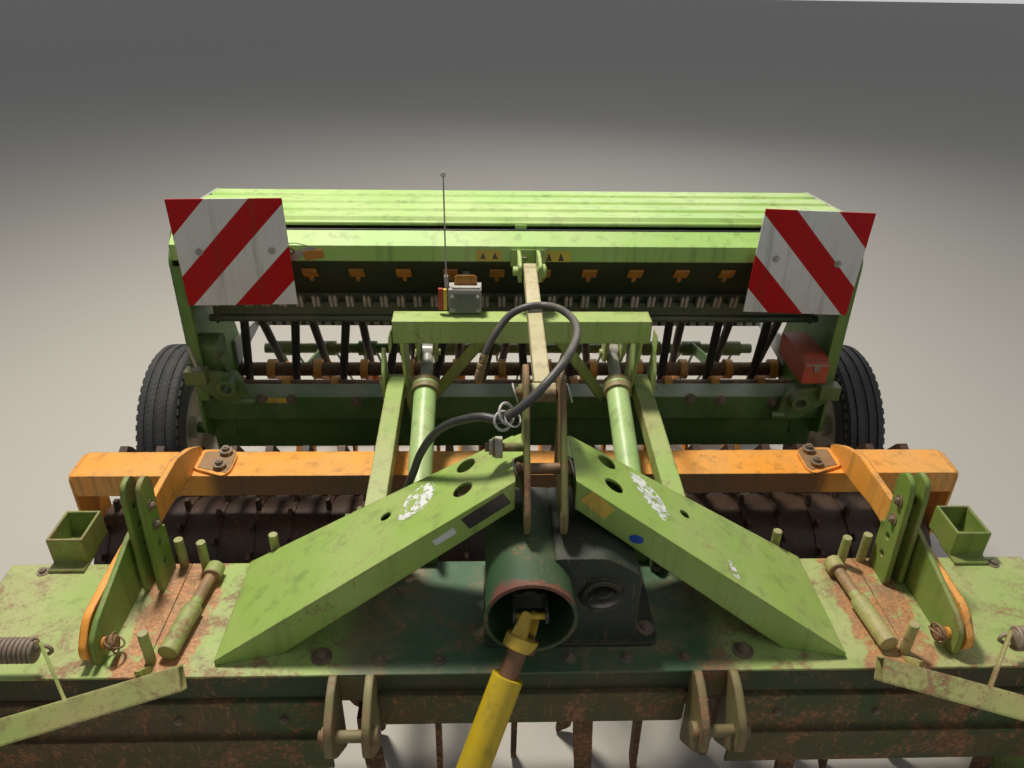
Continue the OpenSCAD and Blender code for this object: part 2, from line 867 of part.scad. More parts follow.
// Arms that carry the roller beam, bolted on it through a lug
module roller_arms() {
    top = deck_top + 130;
    x0 = bracket_x + 86;
    outline = rounded([
        [deck_front + 20, deck_top + 18], [deck_front + 14, deck_top + 60],
        [deck_front + 70, deck_top + 120], [deck_back - 100, top], [-60, top + 4], [60, top - 40],
        [beam_d - 4, beam_top + 26], [beam_d - 4, beam_top], [0, beam_top], [-60, beam_top + 4],
        [-200, deck_top + 40], [deck_back - 30, deck_top + 26]
    ], 30);
    color("darkorange")
        placed()
            both() {
                difference() {
                    side_form(outline, x0, x0 + arm_t);
                    x_bar(deck_front + 60, deck_top + 44, pin_d / 2 + pin_play, x0 - 1, x0 + arm_t + 1);
                }
                x_bar(deck_front + 60, deck_top + 44, pin_d / 2, x0 - 28, x0 + arm_t + 14);
                plan_form(rounded([
                    [x0 - 108, -14], [x0 + 1, 30], [x0 + 1, beam_d], [x0 - 108, beam_d],
                    [x0 - 128, beam_d - 30], [x0 - 128, 20]
                ], 14), beam_top, beam_top + 10);
                for (y = [34, 112])
                    translate([x0 - 88, y, beam_top + 10 - eps])
                        cylinder(r = 17, h = 14, $fn = 6);
            }
}

// Holders on the beam's rear edge with the scrapers between the rings
module scrapers() {
    r = drum_d / 2 + scraper_gap;
    outline = [
        [beam_d + eps, beam_top - 60], [beam_d + eps, beam_top], [beam_d + 22, beam_top + 10],
        [beam_d + 42, beam_top - 6], [beam_d + 150, beam_low - 60], [beam_d + 188, 400],
        [roller_y + r + 12, roller_z - 60], [roller_y + r, roller_z - 50], [beam_d + 174, 400],
        [beam_d + 134, beam_low - 70], [beam_d + 40, beam_top - 40]
    ];
    color("peru")
        placed()
            for (i = [0:ring_n - 2])
                translate([(i + 1 - ring_n / 2) * ring_pitch, 0, 0])
                    side_form(outline, -13, 13);
}

// ---- Lift ----

// Brackets on the rear of the legs with the pins of the lower arms and the cylinders
module lift_brackets() {
    r = 34;
    y0 = deck_back + 0.8;
    plate = rounded([
        [y0, deck_top], [y0, a_z + 64], [a_y - 20, a_z + 44], [a_y + 30, a_z + 26], [a_y + 36, a_z - 10],
        [p_y + 40, p_z - 30], [p_y + 10, deck_top]
    ], 14);
    xs = [
        lift_x - arm_sq / 2 - 18, lift_x + arm_sq / 2 + 6,
        ram_x - ram_d / 2 - 24, ram_x + ram_d / 2 + 8
    ];
    color("darkgreen")
        placed()
            both() {
                difference() {
                    union() {
                        for (x = xs)
                            side_form(plate, x, x + 12);
                        block(xs[2], xs[1] + 12, y0, deck_back + 9, deck_top, deck_top + 56);
                        block(356, 388, y0 - 34, y0 + eps, deck_top + 2, deck_top + 60);
                    }
                    x_bar(a_y, a_z, pin_d / 2 + pin_play, lift_x - 70, lift_x + 70);
                    x_bar(p_y, p_z, pin_d / 2 + pin_play, ram_x - 70, ram_x + 66);
                }
                x_bar(a_y, a_z, pin_d / 2, lift_x - 54, lift_x + 84);
                x_bar(a_y, a_z, pin_d / 2 + 7, lift_x + arm_sq / 2 + 18 + pin_play, lift_x + 62);
                x_bar(p_y, p_z, pin_d / 2, ram_x - 66, ram_x + 64);
            }
}

// Frame with +X along a lower arm from its front eye
module along_arm(y, z, rise) {
    translate([0, y, z])
        rotate([rise, 0, 0])
            children();
}

module lift_arms() {
    s = arm_sq / 2;
    color("yellowgreen")
        placed()
            both()
                along_arm(a_y, a_z, arm_rise)
                    difference() {
                        union() {
                            block(lift_x - s, lift_x + s, 20, arm_len - 20, -s, s);
                            x_bar(0, 0, s + 2, lift_x - s, lift_x + s);
                            x_bar(arm_len, 0, s + 2, lift_x - s, lift_x + s);
                        }
                        x_bar(0, 0, pin_d / 2 + pin_play, lift_x - s - 1, lift_x + s + 1);
                        x_bar(arm_len, 0, pin_d / 2 + pin_play, lift_x - s - 1, lift_x + s + 1);
                    }
}

module ram_barrels() {
    end = ram_len - 140;
    color("yellowgreen")
        placed()
            both()
                along_arm(p_y, p_z, ram_rise)
                    difference() {
                        union() {
                            y_bar(ram_x, 0, ram_d / 2, 24, end);
                            y_bar(ram_x, 0, ram_d / 2 + 8, end - 48, end);
                            x_bar(0, 0, 32, ram_x - 30, ram_x + 30);
                        }
                        x_bar(0, 0, pin_d / 2 + pin_play, ram_x - 40, ram_x + 40);
                        y_bar(ram_x, 0, ram_rod_d / 2 + pin_play, 200, end + 1);
                    }
}

module ram_rods() {
    color("dimgray")
        placed()
            both()
                along_arm(p_y, p_z, ram_rise)
                    difference() {
                        union() {
                            y_bar(ram_x, 0, ram_rod_d / 2, 210, ram_len - ram_play);
                            x_bar(ram_len, 0, ram_pin / 2 + ram_play, ram_x - 18, ram_x + 18);
                        }
                        x_bar(ram_len, 0, ram_pin / 2 + 10, ram_x - 30, ram_x + 30);
                    }
}

// Hydraulic hose: from its port, up behind the left leg and through the rings
// on the headstock, then along the upper link to its parked coupling. A short
// gap over the link's pivot keeps the second length clear when the link swings
hose_low = [
    [-370, -418, 739.8], [-366, -417, 772], [-359, -401, 802], [-357, -386, 832], [-354, -382, 875],
    [-342, -380, 930], [-318, -378, 997], [-299, -380, 1053],
    [-266, -398, 1121], [-226, -425, 1176], [-184, -452, 1212], [-136, -482, 1241],
    [-99, -498, 1245], [-75, -502, 1251], [-39, -502, 1279], [0, -488, 1310],
    [24, -475, 1332], [50, -446, 1347]
];

hose_high = [
    [78, -400, 1359], [112, -290, 1349], [126, -200, 1342], [122, -110, 1331], [94, -40, 1326],
    [56, 3, 1317], [9, 3, 1315], [-29, 0, 1302], [-59, -5, 1280],
    [-88, -24, 1247], [-112, -42, 1209], [-127, -55, 1179]
];

// Point on the smooth curve through the points, u from 0 to the last index
function on_curve(points, u) =
    let (n = len(points) - 1)
    let (i = min(floor(u), n - 1))
    let (t = u - i)
    let (b = points[i])
    let (c = points[i + 1])
    let (a = i > 0 ? points[i - 1] : 2 * b - c)
    let (d = i < n - 1 ? points[i + 2] : 2 * c - b)
    b + t / 2 * (c - a + t * (2 * a - 5 * b + 4 * c - d + t * (3 * b - a - 3 * c + d)));

// Round tube of radius r along the curve
module tube(points, r) {
    sides = 10;
    m = 2 * (len(points) - 1);
    across = [0, 0.86, -0.51];
    rings = [
        for (k = [0:m])
            let (u = k / 2)
            let (t = unit(on_curve(points, min(u + 0.05, m / 2)) - on_curve(points, max(u - 0.05, 0))))
            let (e = unit(cross(t, across)))
            let (f = cross(t, e))
            for (j = [0:sides - 1])
                on_curve(points, u) + r * (cos(j * 36) * e + sin(j * 36) * f)
    ];
    ends = [
        [for (j = [0:sides - 1]) j],
        [for (j = [sides - 1:-1:0]) m * sides + j]
    ];
    walls = [
        for (k = [0:m - 1])
            for (j = [0:sides - 1])
                let (a = k * sides + j)
                let (b = k * sides + (j + 1) % sides)
                for (f = [[a, a + sides, b], [b, a + sides, b + sides]])
                    f
    ];
    polyhedron(rings, concat(ends, walls));
}

module hose_line() {
    color("black")
        placed()
            tube(hose_low, hose_d / 2);
}

module hose_loop() {
    last = hose_high[len(hose_high) - 1];
    color("black")
        placed() {
            tube(hose_high, hose_d / 2);
            rod(last - [-3, 3, -4], last - [18, 18, 74], 15);
        }
}

module upper_link() {
    s = link_sq / 2;
    w = head_gap / 2 - 5;
    color("khaki")
        placed()
        translate([head_x, 0, 0])
            along_arm(c_y, c_z, arm_rise)
                difference() {
                    union() {
                        block(-s, s, 20, arm_len - 20, -s, s);
                        x_bar(0, 0, s + 4, -w, w);
                        x_bar(arm_len, 0, s + 4, -s, s);
                    }
                    x_bar(0, 0, pin_d / 2 + pin_play, -w - 1, w + 1);
                    x_bar(arm_len, 0, pin_d / 2 + 2, -w - 1, w + 1);
                }
}

// ---- Drill ----

module drill_frame() {
    x1 = cheek_x - cheek_t;
    color("darkgreen")
        placed() {
            block(-x1, x1, beam_y, beam_y + drill_beam, beam_z, beam_z + drill_beam);
            // Lower rail below the beam
            block(-x1, x1, beam_y + 34, beam_y + 74, beam_z - 150, beam_z - 16);
            both() {
                block(x1 - 90, x1 - 78, beam_y + 30, beam_y + 80, beam_z - 90, beam_z + eps);
                // Wheel carrier with its axle
                difference() {
                    side_form(rounded([
                        [beam_y + 190, beam_z + 60], [beam_y + 280, beam_z + 60],
                        [wheel_y + 60, wheel_z + 60],
                        [wheel_y + 50, wheel_z - 40], [wheel_y - 50, wheel_z - 40],
                        [wheel_y - 70, wheel_z + 60]
                    ], 24), cheek_x, cheek_x + 16);
                    x_bar(wheel_y, wheel_z, axle_d / 2, cheek_x - 1, cheek_x + 17);
                }
                x_bar(wheel_y, wheel_z, axle_d / 2, cheek_x - 10, half - tyre_w / 2 + 20);
                x_bar(wheel_y, wheel_z, axle_d / 2 + 12, cheek_x + 16, half - tyre_w - 12);
            }
        }
}

// Side plates of the drill with their folded front edge
module drill_cheeks() {
    x1 = cheek_x;
    outline = rounded([
        [beam_y - 30, beam_z - 50], [beam_y - 20, hopper_top - 90], [rim_y + 2, hopper_top - 6],
        [rim_y + 496, hopper_top - 38], [rim_y + 450, hopper_top - 160], [meter_y + 190, meter_z],
        [meter_y + 290, beam_z + 80], [meter_y + 260, beam_z - 70], [beam_y + 80, beam_z - 100]
    ], 20);
    color("green")
        placed()
            both() {
                side_form(outline, x1 - cheek_t + eps, x1);
                block(x1 - 46, x1 - cheek_t + 1, beam_y - 30, beam_y - 22, beam_z + drill_beam + 4,
                    hopper_top - 110);
            }
}

module lift_portal() {
    w = 430;
    y0 = a_y + 545;
    y1 = y0 + 80;
    z1 = b_z + 325;
    z0 = z1 - 80;
    inner = rounded([
        [y0, z0 + 20], [y1 + 10, z0 + 20], [b_y + 10, b_z + 150], [beam_y, beam_z + drill_beam + 50],
        [beam_y, beam_z - 10], [b_y - 40, b_z - 60], [b_y - 60, b_z + 20], [y0 + 20, z0 - 60]
    ], 18);
    outer = rounded([
        [b_y - 50, b_z + 70], [b_y + 10, b_z + 150], [beam_y, beam_z + drill_beam + 50],
        [beam_y, beam_z - 10], [b_y - 40, b_z - 60], [b_y - 60, b_z]
    ], 18);
    lug = rounded([
        [y0 + 20, z0 + 1], [y1, z0 + 1], [e_y + 34, e_z + 10], [e_y + 20, e_z - 34], [e_y - 30, e_z - 26]
    ], 16);
    s = arm_sq / 2;
    color("yellowgreen")
        placed() {
            difference() {
                block(-w, w, y0, y1, z0, z1);
                block(-w - 1, w + 1, y0 + 6, y1 - 6, z0 + 6, z1 - 6);
            }
            both() {
                difference() {
                    union() {
                        side_form(inner, lift_x - s - 18, lift_x - s - 6);
                        side_form(outer, lift_x + s + 6, lift_x + s + 18);
                    }
                    x_bar(b_y, b_z, pin_d / 2 + pin_play, lift_x - 80, lift_x + 80);
                }
                x_bar(b_y, b_z, pin_d / 2, lift_x - 56, lift_x + 60);
                for (x = [ram_x - 34, ram_x + 24])
                    side_form(lug, x, x + 10);
                x_bar(e_y, e_z, ram_pin / 2, ram_x - 44, ram_x + 44);
                // Diagonal brace down to the cross beam
                difference() {
                    flat([120, y0 + 50, z0 + 6], [330, beam_y + 10, beam_z + drill_beam - 10], 40, 10);
                    block(0, half, beam_y - pin_play, beam_y + 200, beam_z,
                        beam_z + drill_beam + pin_play);
                }
            }
            // Bracket that carries the upper link in front of the hopper
            translate([head_x, 0, 0]) {
                for (s2 = [-1, 1])
                    side_form(rounded([
                        [d_y - 34, d_z - 30], [d_y - 34, d_z + 30], [d_y + 20, d_z + 40],
                        [beam_y - 21, d_z + 30],
                        [beam_y - 21, d_z - 30]
                    ], 14), s2 * (link_sq / 2 + 12) - 6, s2 * (link_sq / 2 + 12) + 6);
                x_bar(d_y, d_z, pin_d / 2, -56, 56);
                x_bar(d_y, d_z, pin_d / 2 + 8, 39, 52);
                block(-60, 60, beam_y - 26, beam_y - 20 - pin_play, d_z - 30, d_z + 30);
            }
        }
}

// Hopper: front strip, sloping front and rear walls, and ends
hopper_out = [
    [rim_y, hopper_top], [beam_y - 20, hopper_top - 35], [beam_y - 20, hopper_top - 90],
    [meter_y - 70, meter_z + 90], [meter_y + 70, meter_z + 90], [rim_y + 500, hopper_top - 42]
];

hopper_in = [
    [rim_y + hopper_t, hopper_top + 2], [rim_y + hopper_t, hopper_top - 95],
    [meter_y - 64, meter_z + 96], [meter_y + 69, meter_z + 96], [rim_y + 540, hopper_top + 2]
];

module hopper() {
    x1 = cheek_x - cheek_t;
    color("olivedrab")
        placed() {
            difference() {
                side_form(hopper_out, -x1, x1);
                side_form(hopper_in, -x1 + hopper_t, x1 - hopper_t);
            }
            // Cradles of the lid's hinge bar
            for (x = [-1000, 0, 1000])
                difference() {
                    block(x - 20, x + 20, rim_y, lid_y + 18, hopper_top - 12, lid_z + 4);
                    x_bar(lid_y + 6, lid_z + 4, 8 + pin_play, x - 21, x + 21);
                }
        }
}

// Front face of the hopper's sloping wall at height z
function hopper_y(z) =
    beam_y - 20 + (hopper_top - 90 - z) / (hopper_top - 180 - meter_z) * (meter_y - 50 - beam_y);

module metering() {
    x1 = cheek_x - 60;
    z = meter_z;
    color("gainsboro")
        placed() {
            block(-x1, x1, meter_y - 66, meter_y + 66, z + 40, z + 90 - eps);
            block(-x1, x1, meter_y - 86, meter_y - 66, z + 10, z + 60);
            for (i = [0:outlet_n])
                translate([(i - outlet_n / 2) * outlet_pitch, 0, 0])
                    side_form([
                        [meter_y - 100, z + 70], [meter_y - 66, z + 84], [meter_y - 40, z + 50],
                        [meter_y + 40, z + 41], [meter_y + 40, z], [meter_y - 50, z]
                    ], -outlet_pitch * 0.3, outlet_pitch * 0.3);
            // Rail that the seed tubes hang from
            block(-x1 - 20, x1 + 20, meter_y - 6, meter_y + 46, z - 6, z + 4);
            // Metering shaft
            x_bar(meter_y - 76, z - 10, 14, -x1 - 20, x1 + 20);
            for (s = [-1, 0, 1])
                block(s * (x1 - 10) - 5, s * (x1 - 10) + 5, meter_y - 90, meter_y - 40, z - 26, z + 41);
        }
}

function row_x(i) = (i - (row_n - 1) / 2) * coulter_pitch;

// A row's coulter hangs on the front or the rear bar by turns
function row_y(i) = i % 2 == 0 ? 0 : bar_gap;

// Height and distance from the shoe of the cup that a seed tube ends in
cup_z = 520;

function cup_y(i) = tip_y + row_y(i) - (i % 2 == 0 ? 158 : 95);

// The tubes lean outwards from the hopper, close together in pairs
function tube_x(i) =
    row_x(i) - sign(row_x(i)) * ((row_x(i) < 0) == (i % 2 == 0) ? tube_lean + 50 : tube_lean);

module seed_tube(i, r) {
    q = [row_x(i), cup_y(i), cup_z - 8];
    top = [tube_x(i), meter_y + 20, meter_z - 6 - pin_play];
    d = unit(top - q);
    rod(top - [0, 0, tube_d / 2 * sqrt(1 - d[2] * d[2])], q, r);
}

module seed_tubes() {
    color("black")
        placed()
            for (i = [0:row_n - 1])
                seed_tube(i, tube_d / 2);
}

module coulter_bars() {
    x1 = cheek_x - cheek_t;
    color("sienna")
        placed()
            for (y = [bar_y, bar_y + bar_gap])
                x_bar(y, 600, 30, -x1, x1);
}

module coulters() {
    color("darkorange")
        placed()
            for (i = [0:row_n - 1])
                difference() {
                    translate([row_x(i), row_y(i), 0])
                        coulter(bar_y, cup_y(i) - row_y(i));
                    seed_tube(i, tube_d / 2 + 1);
                }
}

// Shoe coulter with its clamp on the bar at y and the cup of the seed tube at cy
module coulter(y, cy) {
    difference() {
        union() {
            x_bar(y, 600, 44, -16, 16);
            side_form([
                [y - 6, 560], [y + 40, 596], [tip_y - 60, 500], [tip_y, 320], [tip_y + 10, 90],
                [tip_y - 24, 14],
                [tip_y - 110, 10], [tip_y - 50, 90], [tip_y - 50, 290], [tip_y - 110, 440]
            ], -7, 7);
            translate([0, cy, 440])
                cylinder(r = 32, h = cup_z - 440);
        }
        x_bar(y, 600, 30 + pin_play, -20, 20);
        translate([0, cy, cup_z - 20])
            cylinder(r = 27, h = 140);
    }
}

// Rear bar with pairs of spring tines that cover the seed
module tine_harrow() {
    y = step_y + 120;
    n = floor(row_n / 2);
    color("darkgreen")
        placed() {
            x_bar(y, 480, 24, -cheek_x, cheek_x);
            for (i = [0:n - 1])
                translate([(i - (n - 1) / 2) * coulter_pitch * 2, 0, 0])
                    both() {
                        x_bar(y, 480, 36, -1, 44);
                        rod(tail_from, tail_to, tail_r);
                    }
            for (x = [-900, 900])
                difference() {
                    flat([x, bar_y + bar_gap, 600], [x, y, 490], 50, 12);
                    x_bar(bar_y + bar_gap, 600, 30 + pin_play, x - 10, x + 10);
                }
        }
}

// Walkway behind the hopper, from which it is filled
module loading_step() {
    z = 700;
    color("silver")
        placed() {
            difference() {
                block(-cheek_x, cheek_x, step_y, step_y + 230, z - 36, z);
                block(-cheek_x + 4, cheek_x - 4, step_y + 4, step_y + 226, z - 37, z - 4);
            }
            both()
                side_form([
                    [meter_y + 180, z - 60], [meter_y + 180, z + 60], [step_y + 10, z - 5],
                    [step_y + 200, z - 5],
                    [step_y + 200, z - 30]
                ], cheek_x - cheek_t - 12, cheek_x - cheek_t);
        }
}

module warning_boards() {
    y = beam_y - 50;
    color("white")
        placed()
            for (s = [-1, 1]) {
                translate([s < 0 ? -1150 : 1170 - board, y, s < 0 ? 1130 : 1112])
                    rotate([0, s < 0 ? -1 : 2, 0])
                        cube([board, board_t, board]);
                side_form([
                    [y + board_t, 1180], [y + board_t, 1260], [beam_y - 20 - eps, 1300],
                    [beam_y - 20 - eps, 1290]
                ], s * 1000 - 15, s * 1000 + 15);
            }
}

// Castings on the drill's front corners with the sockets for the marker arms
module marker_sockets() {
    color("seagreen")
        placed() {
            mirror([1, 0, 0])
                marker_socket(beam_z + 188);
            marker_socket(beam_z + 120);
        }
}

module marker_socket(z) {
    x = 1065;
    y1 = beam_y - 30 - pin_play;
    difference() {
        union() {
            y_bar(x, z, 34, y1 - 60, y1 + 28);
            front_form(rounded([
                [x - 70, z - 92], [x + 20, z - 92], [cheek_x - 14, z - 10], [cheek_x - 14, z + 50],
                [x + 30, z + 46], [x - 44, z + 20]
            ], 16), y1 - 20, y1);
            block(cheek_x - 66, cheek_x + 10, y1 - 50, y1, z + 10, z + 66);
            x_bar(y1 - 24, z - 70, 14, x - 90, x - 40);
        }
        y_bar(x, z, 20, y1 - 61, y1 + 29);
    }
}

module tool_box() {
    color("brown")
        placed()
            side_form(rounded([
                [beam_y - 60, 816], [beam_y + 200, 816], [beam_y + 200, 906], [beam_y - 10, 922],
                [beam_y - 60, 900]
            ], 8), 1060, cheek_x - 46 - pin_play);
}

module drive_box() {
    color("darkslategray")
        placed() {
            side_form(rounded([
                [beam_y + 2, 750], [beam_y + 110, 750], [beam_y + 118, 940], [beam_y + 70, 965],
                [beam_y + 2, 940]
            ], 24), -cheek_x + cheek_t, -cheek_x + 92);
            x_bar(beam_y + 60, 850, 40, -cheek_x + 92 - eps, -cheek_x + 106);
        }
}

// Small switch box with its thin upright rod
module control_box() {
    x = -190;
    y = d_y - 10;
    color("lightgray")
        placed() {
            block(x - 54, x + 54, y - 34, y + 30, 1168, 1250);
            block(x - 12, x + 12, y + 30 - eps, hopper_y(1230), 1224, 1230);
            translate([x - 62, y, 1228])
                cylinder(r = 6, h = 40);
            translate([x - 62, y, 1240])
                cylinder(r = 2.5, h = 390);
            block(x - 68, x - 52, y - 8, y + 8, 1215, 1235);
        }
}

module lid() {
    x1 = cheek_x - cheek_t - 6;
    t = 4;
    y1 = rim_y + 520;
    fall = 52;
    n = 4;
    run = (y1 - lid_y) / n;
    ridge = 16;
    crown = [
        for (i = [0:n - 1])
            for (p = [[0.07, 0], [0.18, 1], [0.8, 1], [0.94, 0]])
                [lid_y + run * (i + p[0]), lid_z + 10 - fall * (i + p[0]) / n + ridge * p[1]]
    ];
    under = [for (i = [len(crown) - 1:-1:0]) crown[i] - [0, t]];
    color("limegreen")
        placed()
            union() {
                side_form(concat(crown, under), -x1, x1);
                side_form([
                    [y1 - t, lid_z - 16 - fall], [y1, lid_z - 16 - fall],
                    [y1 - run * 0.05, lid_z + 14 - fall],
                    [y1 - run * 0.1, lid_z + 14 - fall]
                ], -x1, x1);
                x_bar(lid_y + 6, lid_z + 4, 8, -x1, x1);
            }
}

module lid_ends() {
    x1 = cheek_x - cheek_t - 6;
    y1 = rim_y + 520;
    color("lightgray")
        placed()
            both()
                side_form(rounded([
                    [lid_y, lid_z], [lid_y + 4, lid_z + 24], [y1 - 10, lid_z - 24],
                    [y1, lid_z - 62], [y1 - 12, lid_z - 42]
                ], 8), x1, x1 + 10);
}

// ---- Drill wheels ----

module tyre(s) {
    r = wheel_d / 2;
    w = tyre_w;
    g = 7;
    color("dimgray")
        placed()
            translate([s * (half - w / 2), wheel_y, wheel_z])
                rotate([0, 90, 0])
                    rotate_extrude($fn = 96)
                        polygon([
                            [r - 152, -w * 0.36], [r - 150, -w * 0.4], [r - 100, -w * 0.5],
                            [r - 40, -w * 0.5],
                            [r - 12, -w * 0.45], [r - 2, -w * 0.4], [r, -w * 0.28], [r - g, -w * 0.27],
                            [r - g, -w * 0.23], [r, -w * 0.22], [r, -w * 0.06], [r - g, -w * 0.05],
                            [r - g, w * 0.05], [r, w * 0.06], [r, w * 0.22], [r - g, w * 0.23],
                            [r - g, w * 0.27],
                            [r, w * 0.28], [r - 2, w * 0.4], [r - 12, w * 0.45], [r - 40, w * 0.5],
                            [r - 100, w * 0.5], [r - 150, w * 0.4], [r - 152, w * 0.36]
                        ]);
}

module rim(s) {
    r = wheel_d / 2 - 152;
    w = tyre_w;
    color("lightgray")
        placed()
            translate([s * (half - w / 2), wheel_y, wheel_z])
                rotate([0, s * 90, 0])
                    difference() {
                        rotate_extrude($fn = 64)
                            polygon([
                                [axle_d / 2 + pin_play, -40], [axle_d / 2 + 24, -40],
                                [axle_d / 2 + 24, -8],
                                [r - 40, -2], [r - 14, -w * 0.38], [r - 0.3, -w * 0.38],
                                [r - 0.3, w * 0.38],
                                [r - 8, w * 0.38], [r - 30, 10], [axle_d / 2 + 24, 4],
                                [axle_d / 2 + 20, 34],
                                [0, 34], [0, 28], [axle_d / 2 + pin_play, 28]
                            ]);
                        for (a = [0:60:300])
                            rotate([0, 0, a])
                                translate([r * 0.66, 0, -60])
                                    cylinder(r = 16, h = 120);
                    }
}

gear_trough();
deck_plates();
front_guard();
hitch_brackets();
headstock_legs();
headstock_plates();
gearbox();
pto_guard();
arm_brackets();
deck_hinges();
side_arms();
side_springs();
side_plates();
receptacles();
roller_beam();
roller_ends();
roller_arms();
scrapers();
lift_brackets();
rotor(0);  // rotor_1
rotor(1);  // rotor_2
rotor(2);  // rotor_3
rotor(3);  // rotor_4
rotor(4);  // rotor_5
rotor(5);  // rotor_6
rotor(6);  // rotor_7
rotor(7);  // rotor_8
rotor(8);  // rotor_9
rotor(9);  // rotor_10
packer_roller();
pto_fork();
pto_sleeve();
lift_arms();
ram_barrels();
ram_rods();
upper_link();
hose_line();
hose_loop();
drill_frame();
drill_cheeks();
lift_portal();
hopper();
metering();
seed_tubes();
coulter_bars();
coulters();
tine_harrow();
loading_step();
warning_boards();
marker_sockets();
tool_box();
drive_box();
control_box();
lid();
lid_ends();
tyre(-1);  // tyre_left
tyre(1);  // tyre_right
rim(-1);  // rim_left
rim(1);  // rim_right
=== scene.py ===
# Seed drill on a power harrow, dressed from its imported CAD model.
# The studio: a pale floor and soft lamps, with the camera above the tractor's
# hitch, looking back and down over the headstock.
import bpy
import bmesh
import math
from mathutils import Matrix, Vector
from mathutils.bvhtree import BVHTree


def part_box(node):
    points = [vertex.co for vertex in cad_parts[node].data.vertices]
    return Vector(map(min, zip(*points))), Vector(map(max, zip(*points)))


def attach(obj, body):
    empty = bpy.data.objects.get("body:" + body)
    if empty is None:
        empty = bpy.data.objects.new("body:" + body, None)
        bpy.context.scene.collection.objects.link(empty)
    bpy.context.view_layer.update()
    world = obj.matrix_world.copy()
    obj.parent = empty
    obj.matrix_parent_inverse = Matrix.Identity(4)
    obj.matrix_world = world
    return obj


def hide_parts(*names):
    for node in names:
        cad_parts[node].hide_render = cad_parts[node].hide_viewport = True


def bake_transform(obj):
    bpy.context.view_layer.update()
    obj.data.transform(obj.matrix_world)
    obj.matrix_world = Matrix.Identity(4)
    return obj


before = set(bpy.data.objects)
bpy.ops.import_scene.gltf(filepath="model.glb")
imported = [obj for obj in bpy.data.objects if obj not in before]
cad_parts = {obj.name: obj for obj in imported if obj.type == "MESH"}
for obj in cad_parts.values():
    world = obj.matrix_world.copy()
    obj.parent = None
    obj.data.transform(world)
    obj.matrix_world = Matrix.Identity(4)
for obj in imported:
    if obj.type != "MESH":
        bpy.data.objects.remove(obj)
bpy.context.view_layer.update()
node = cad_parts
scene = bpy.context.scene


def lay(tree, kind, inputs=(), **settings):
    """A node of this kind in the tree, with its inputs linked or set."""
    made = tree.nodes.new(kind)
    for key, value in settings.items():
        setattr(made, key, value)
    for key, value in dict(inputs).items():
        if isinstance(value, bpy.types.NodeSocket):
            tree.links.new(value, made.inputs[key])
        else:
            made.inputs[key].default_value = value
    return made


picture_w, picture_h = 1024.0, 768.0
lens, sensor = 27.327, 36.0
eye = Vector((-0.1211, -2.2179, 2.2858))
yaw, pitch, roll = math.radians(2.23), math.radians(30.6), math.radians(1.09)
ahead = Vector((math.sin(yaw) * math.cos(pitch), math.cos(yaw) * math.cos(pitch), -math.sin(pitch)))
right = Vector((math.cos(yaw), -math.sin(yaw), 0.0))
up = right.cross(ahead)
right, up = right * math.cos(roll) + up * math.sin(roll), up * math.cos(roll) - right * math.sin(roll)
camera = bpy.data.objects.new("camera", bpy.data.cameras.new("camera"))
scene.collection.objects.link(camera)
camera.data.sensor_width = sensor
camera.data.lens = lens
camera.data.clip_end = 60.0
camera.matrix_world = Matrix.Translation(eye) @ Matrix((right, up, -ahead)).transposed().to_4x4()
scene.camera = camera

scene.view_settings.view_transform = "Standard"
world = bpy.data.worlds.new("studio")
world.use_nodes = True
scene.world = world
sky = world.node_tree
sky.nodes.clear()
seen = lay(sky, "ShaderNodeLightPath")
direct = lay(
    sky,
    "ShaderNodeMath",
    {0: seen.outputs["Is Camera Ray"], 1: seen.outputs["Is Glossy Ray"]},
    operation="ADD",
)
direct.use_clamp = True
room = lay(sky, "ShaderNodeBackground", {"Color": (0.80, 0.87, 1.0, 1.0), "Strength": 0.16})
wall = lay(sky, "ShaderNodeBackground", {"Color": (0.84, 0.85, 0.86, 1.0), "Strength": 0.66})
blend = lay(sky, "ShaderNodeMixShader", {0: direct.outputs[0], 1: room.outputs[0], 2: wall.outputs[0]})
lay(sky, "ShaderNodeOutputWorld", {"Surface": blend.outputs[0]})

middle = Vector((0.0, -0.2, 0.7))
for name, place, size, power, warmth in (
    ("key", (-1.1, 1.2, 5.6), 0.7, 310.0, (1.0, 0.95, 0.86)),
    ("fill", (3.6, -5.0, 4.6), 4.5, 38.0, (0.9, 0.95, 1.0)),
    ("back", (1.5, 6.0, 4.5), 4.0, 66.0, (1.0, 1.0, 1.0)),
):
    lamp = bpy.data.objects.new(name, bpy.data.lights.new(name, "AREA"))
    scene.collection.objects.link(lamp)
    lamp.data.size = size
    lamp.data.energy = power
    lamp.data.color = warmth
    lamp.location = place
    lamp.rotation_euler = (middle - Vector(place)).to_track_quat("-Z", "Y").to_euler()

floor_mesh = bpy.data.meshes.new("floor")
reach = 30
corners = [(-reach, -reach, 0), (reach, -reach, 0), (reach, reach, 0), (-reach, reach, 0)]
floor_mesh.from_pydata(corners, [], [(0, 1, 2, 3)])
floor = bpy.data.objects.new("floor", floor_mesh)
scene.collection.objects.link(floor)
pale = bpy.data.materials.new("floor_pale")
pale.use_nodes = True
matt_floor = pale.node_tree.nodes["Principled BSDF"].inputs
matt_floor["Base Color"].default_value = (0.55, 0.52, 0.46, 1.0)
matt_floor["Roughness"].default_value = 0.95
floor_mesh.materials.append(pale)

# Gear trough and deck: a welded steel trough with its folded cover plates, in
# green paint that the weather has bleached, with dust on top, rust where
# stones hit the edges, and a darker middle under the gearbox that is partly
# its own darker paint and partly painted shade of the headstock.


def sums(tree, operation, a, b=0.0, clamp=False):
    """One step of arithmetic on two numbers or outputs."""
    return lay(tree, "ShaderNodeMath", {0: a, 1: b}, operation=operation, use_clamp=clamp).outputs[0]


def times(tree, a, b, clamp=False):
    """The first number or output times the second."""
    return sums(tree, "MULTIPLY", a, b, clamp)


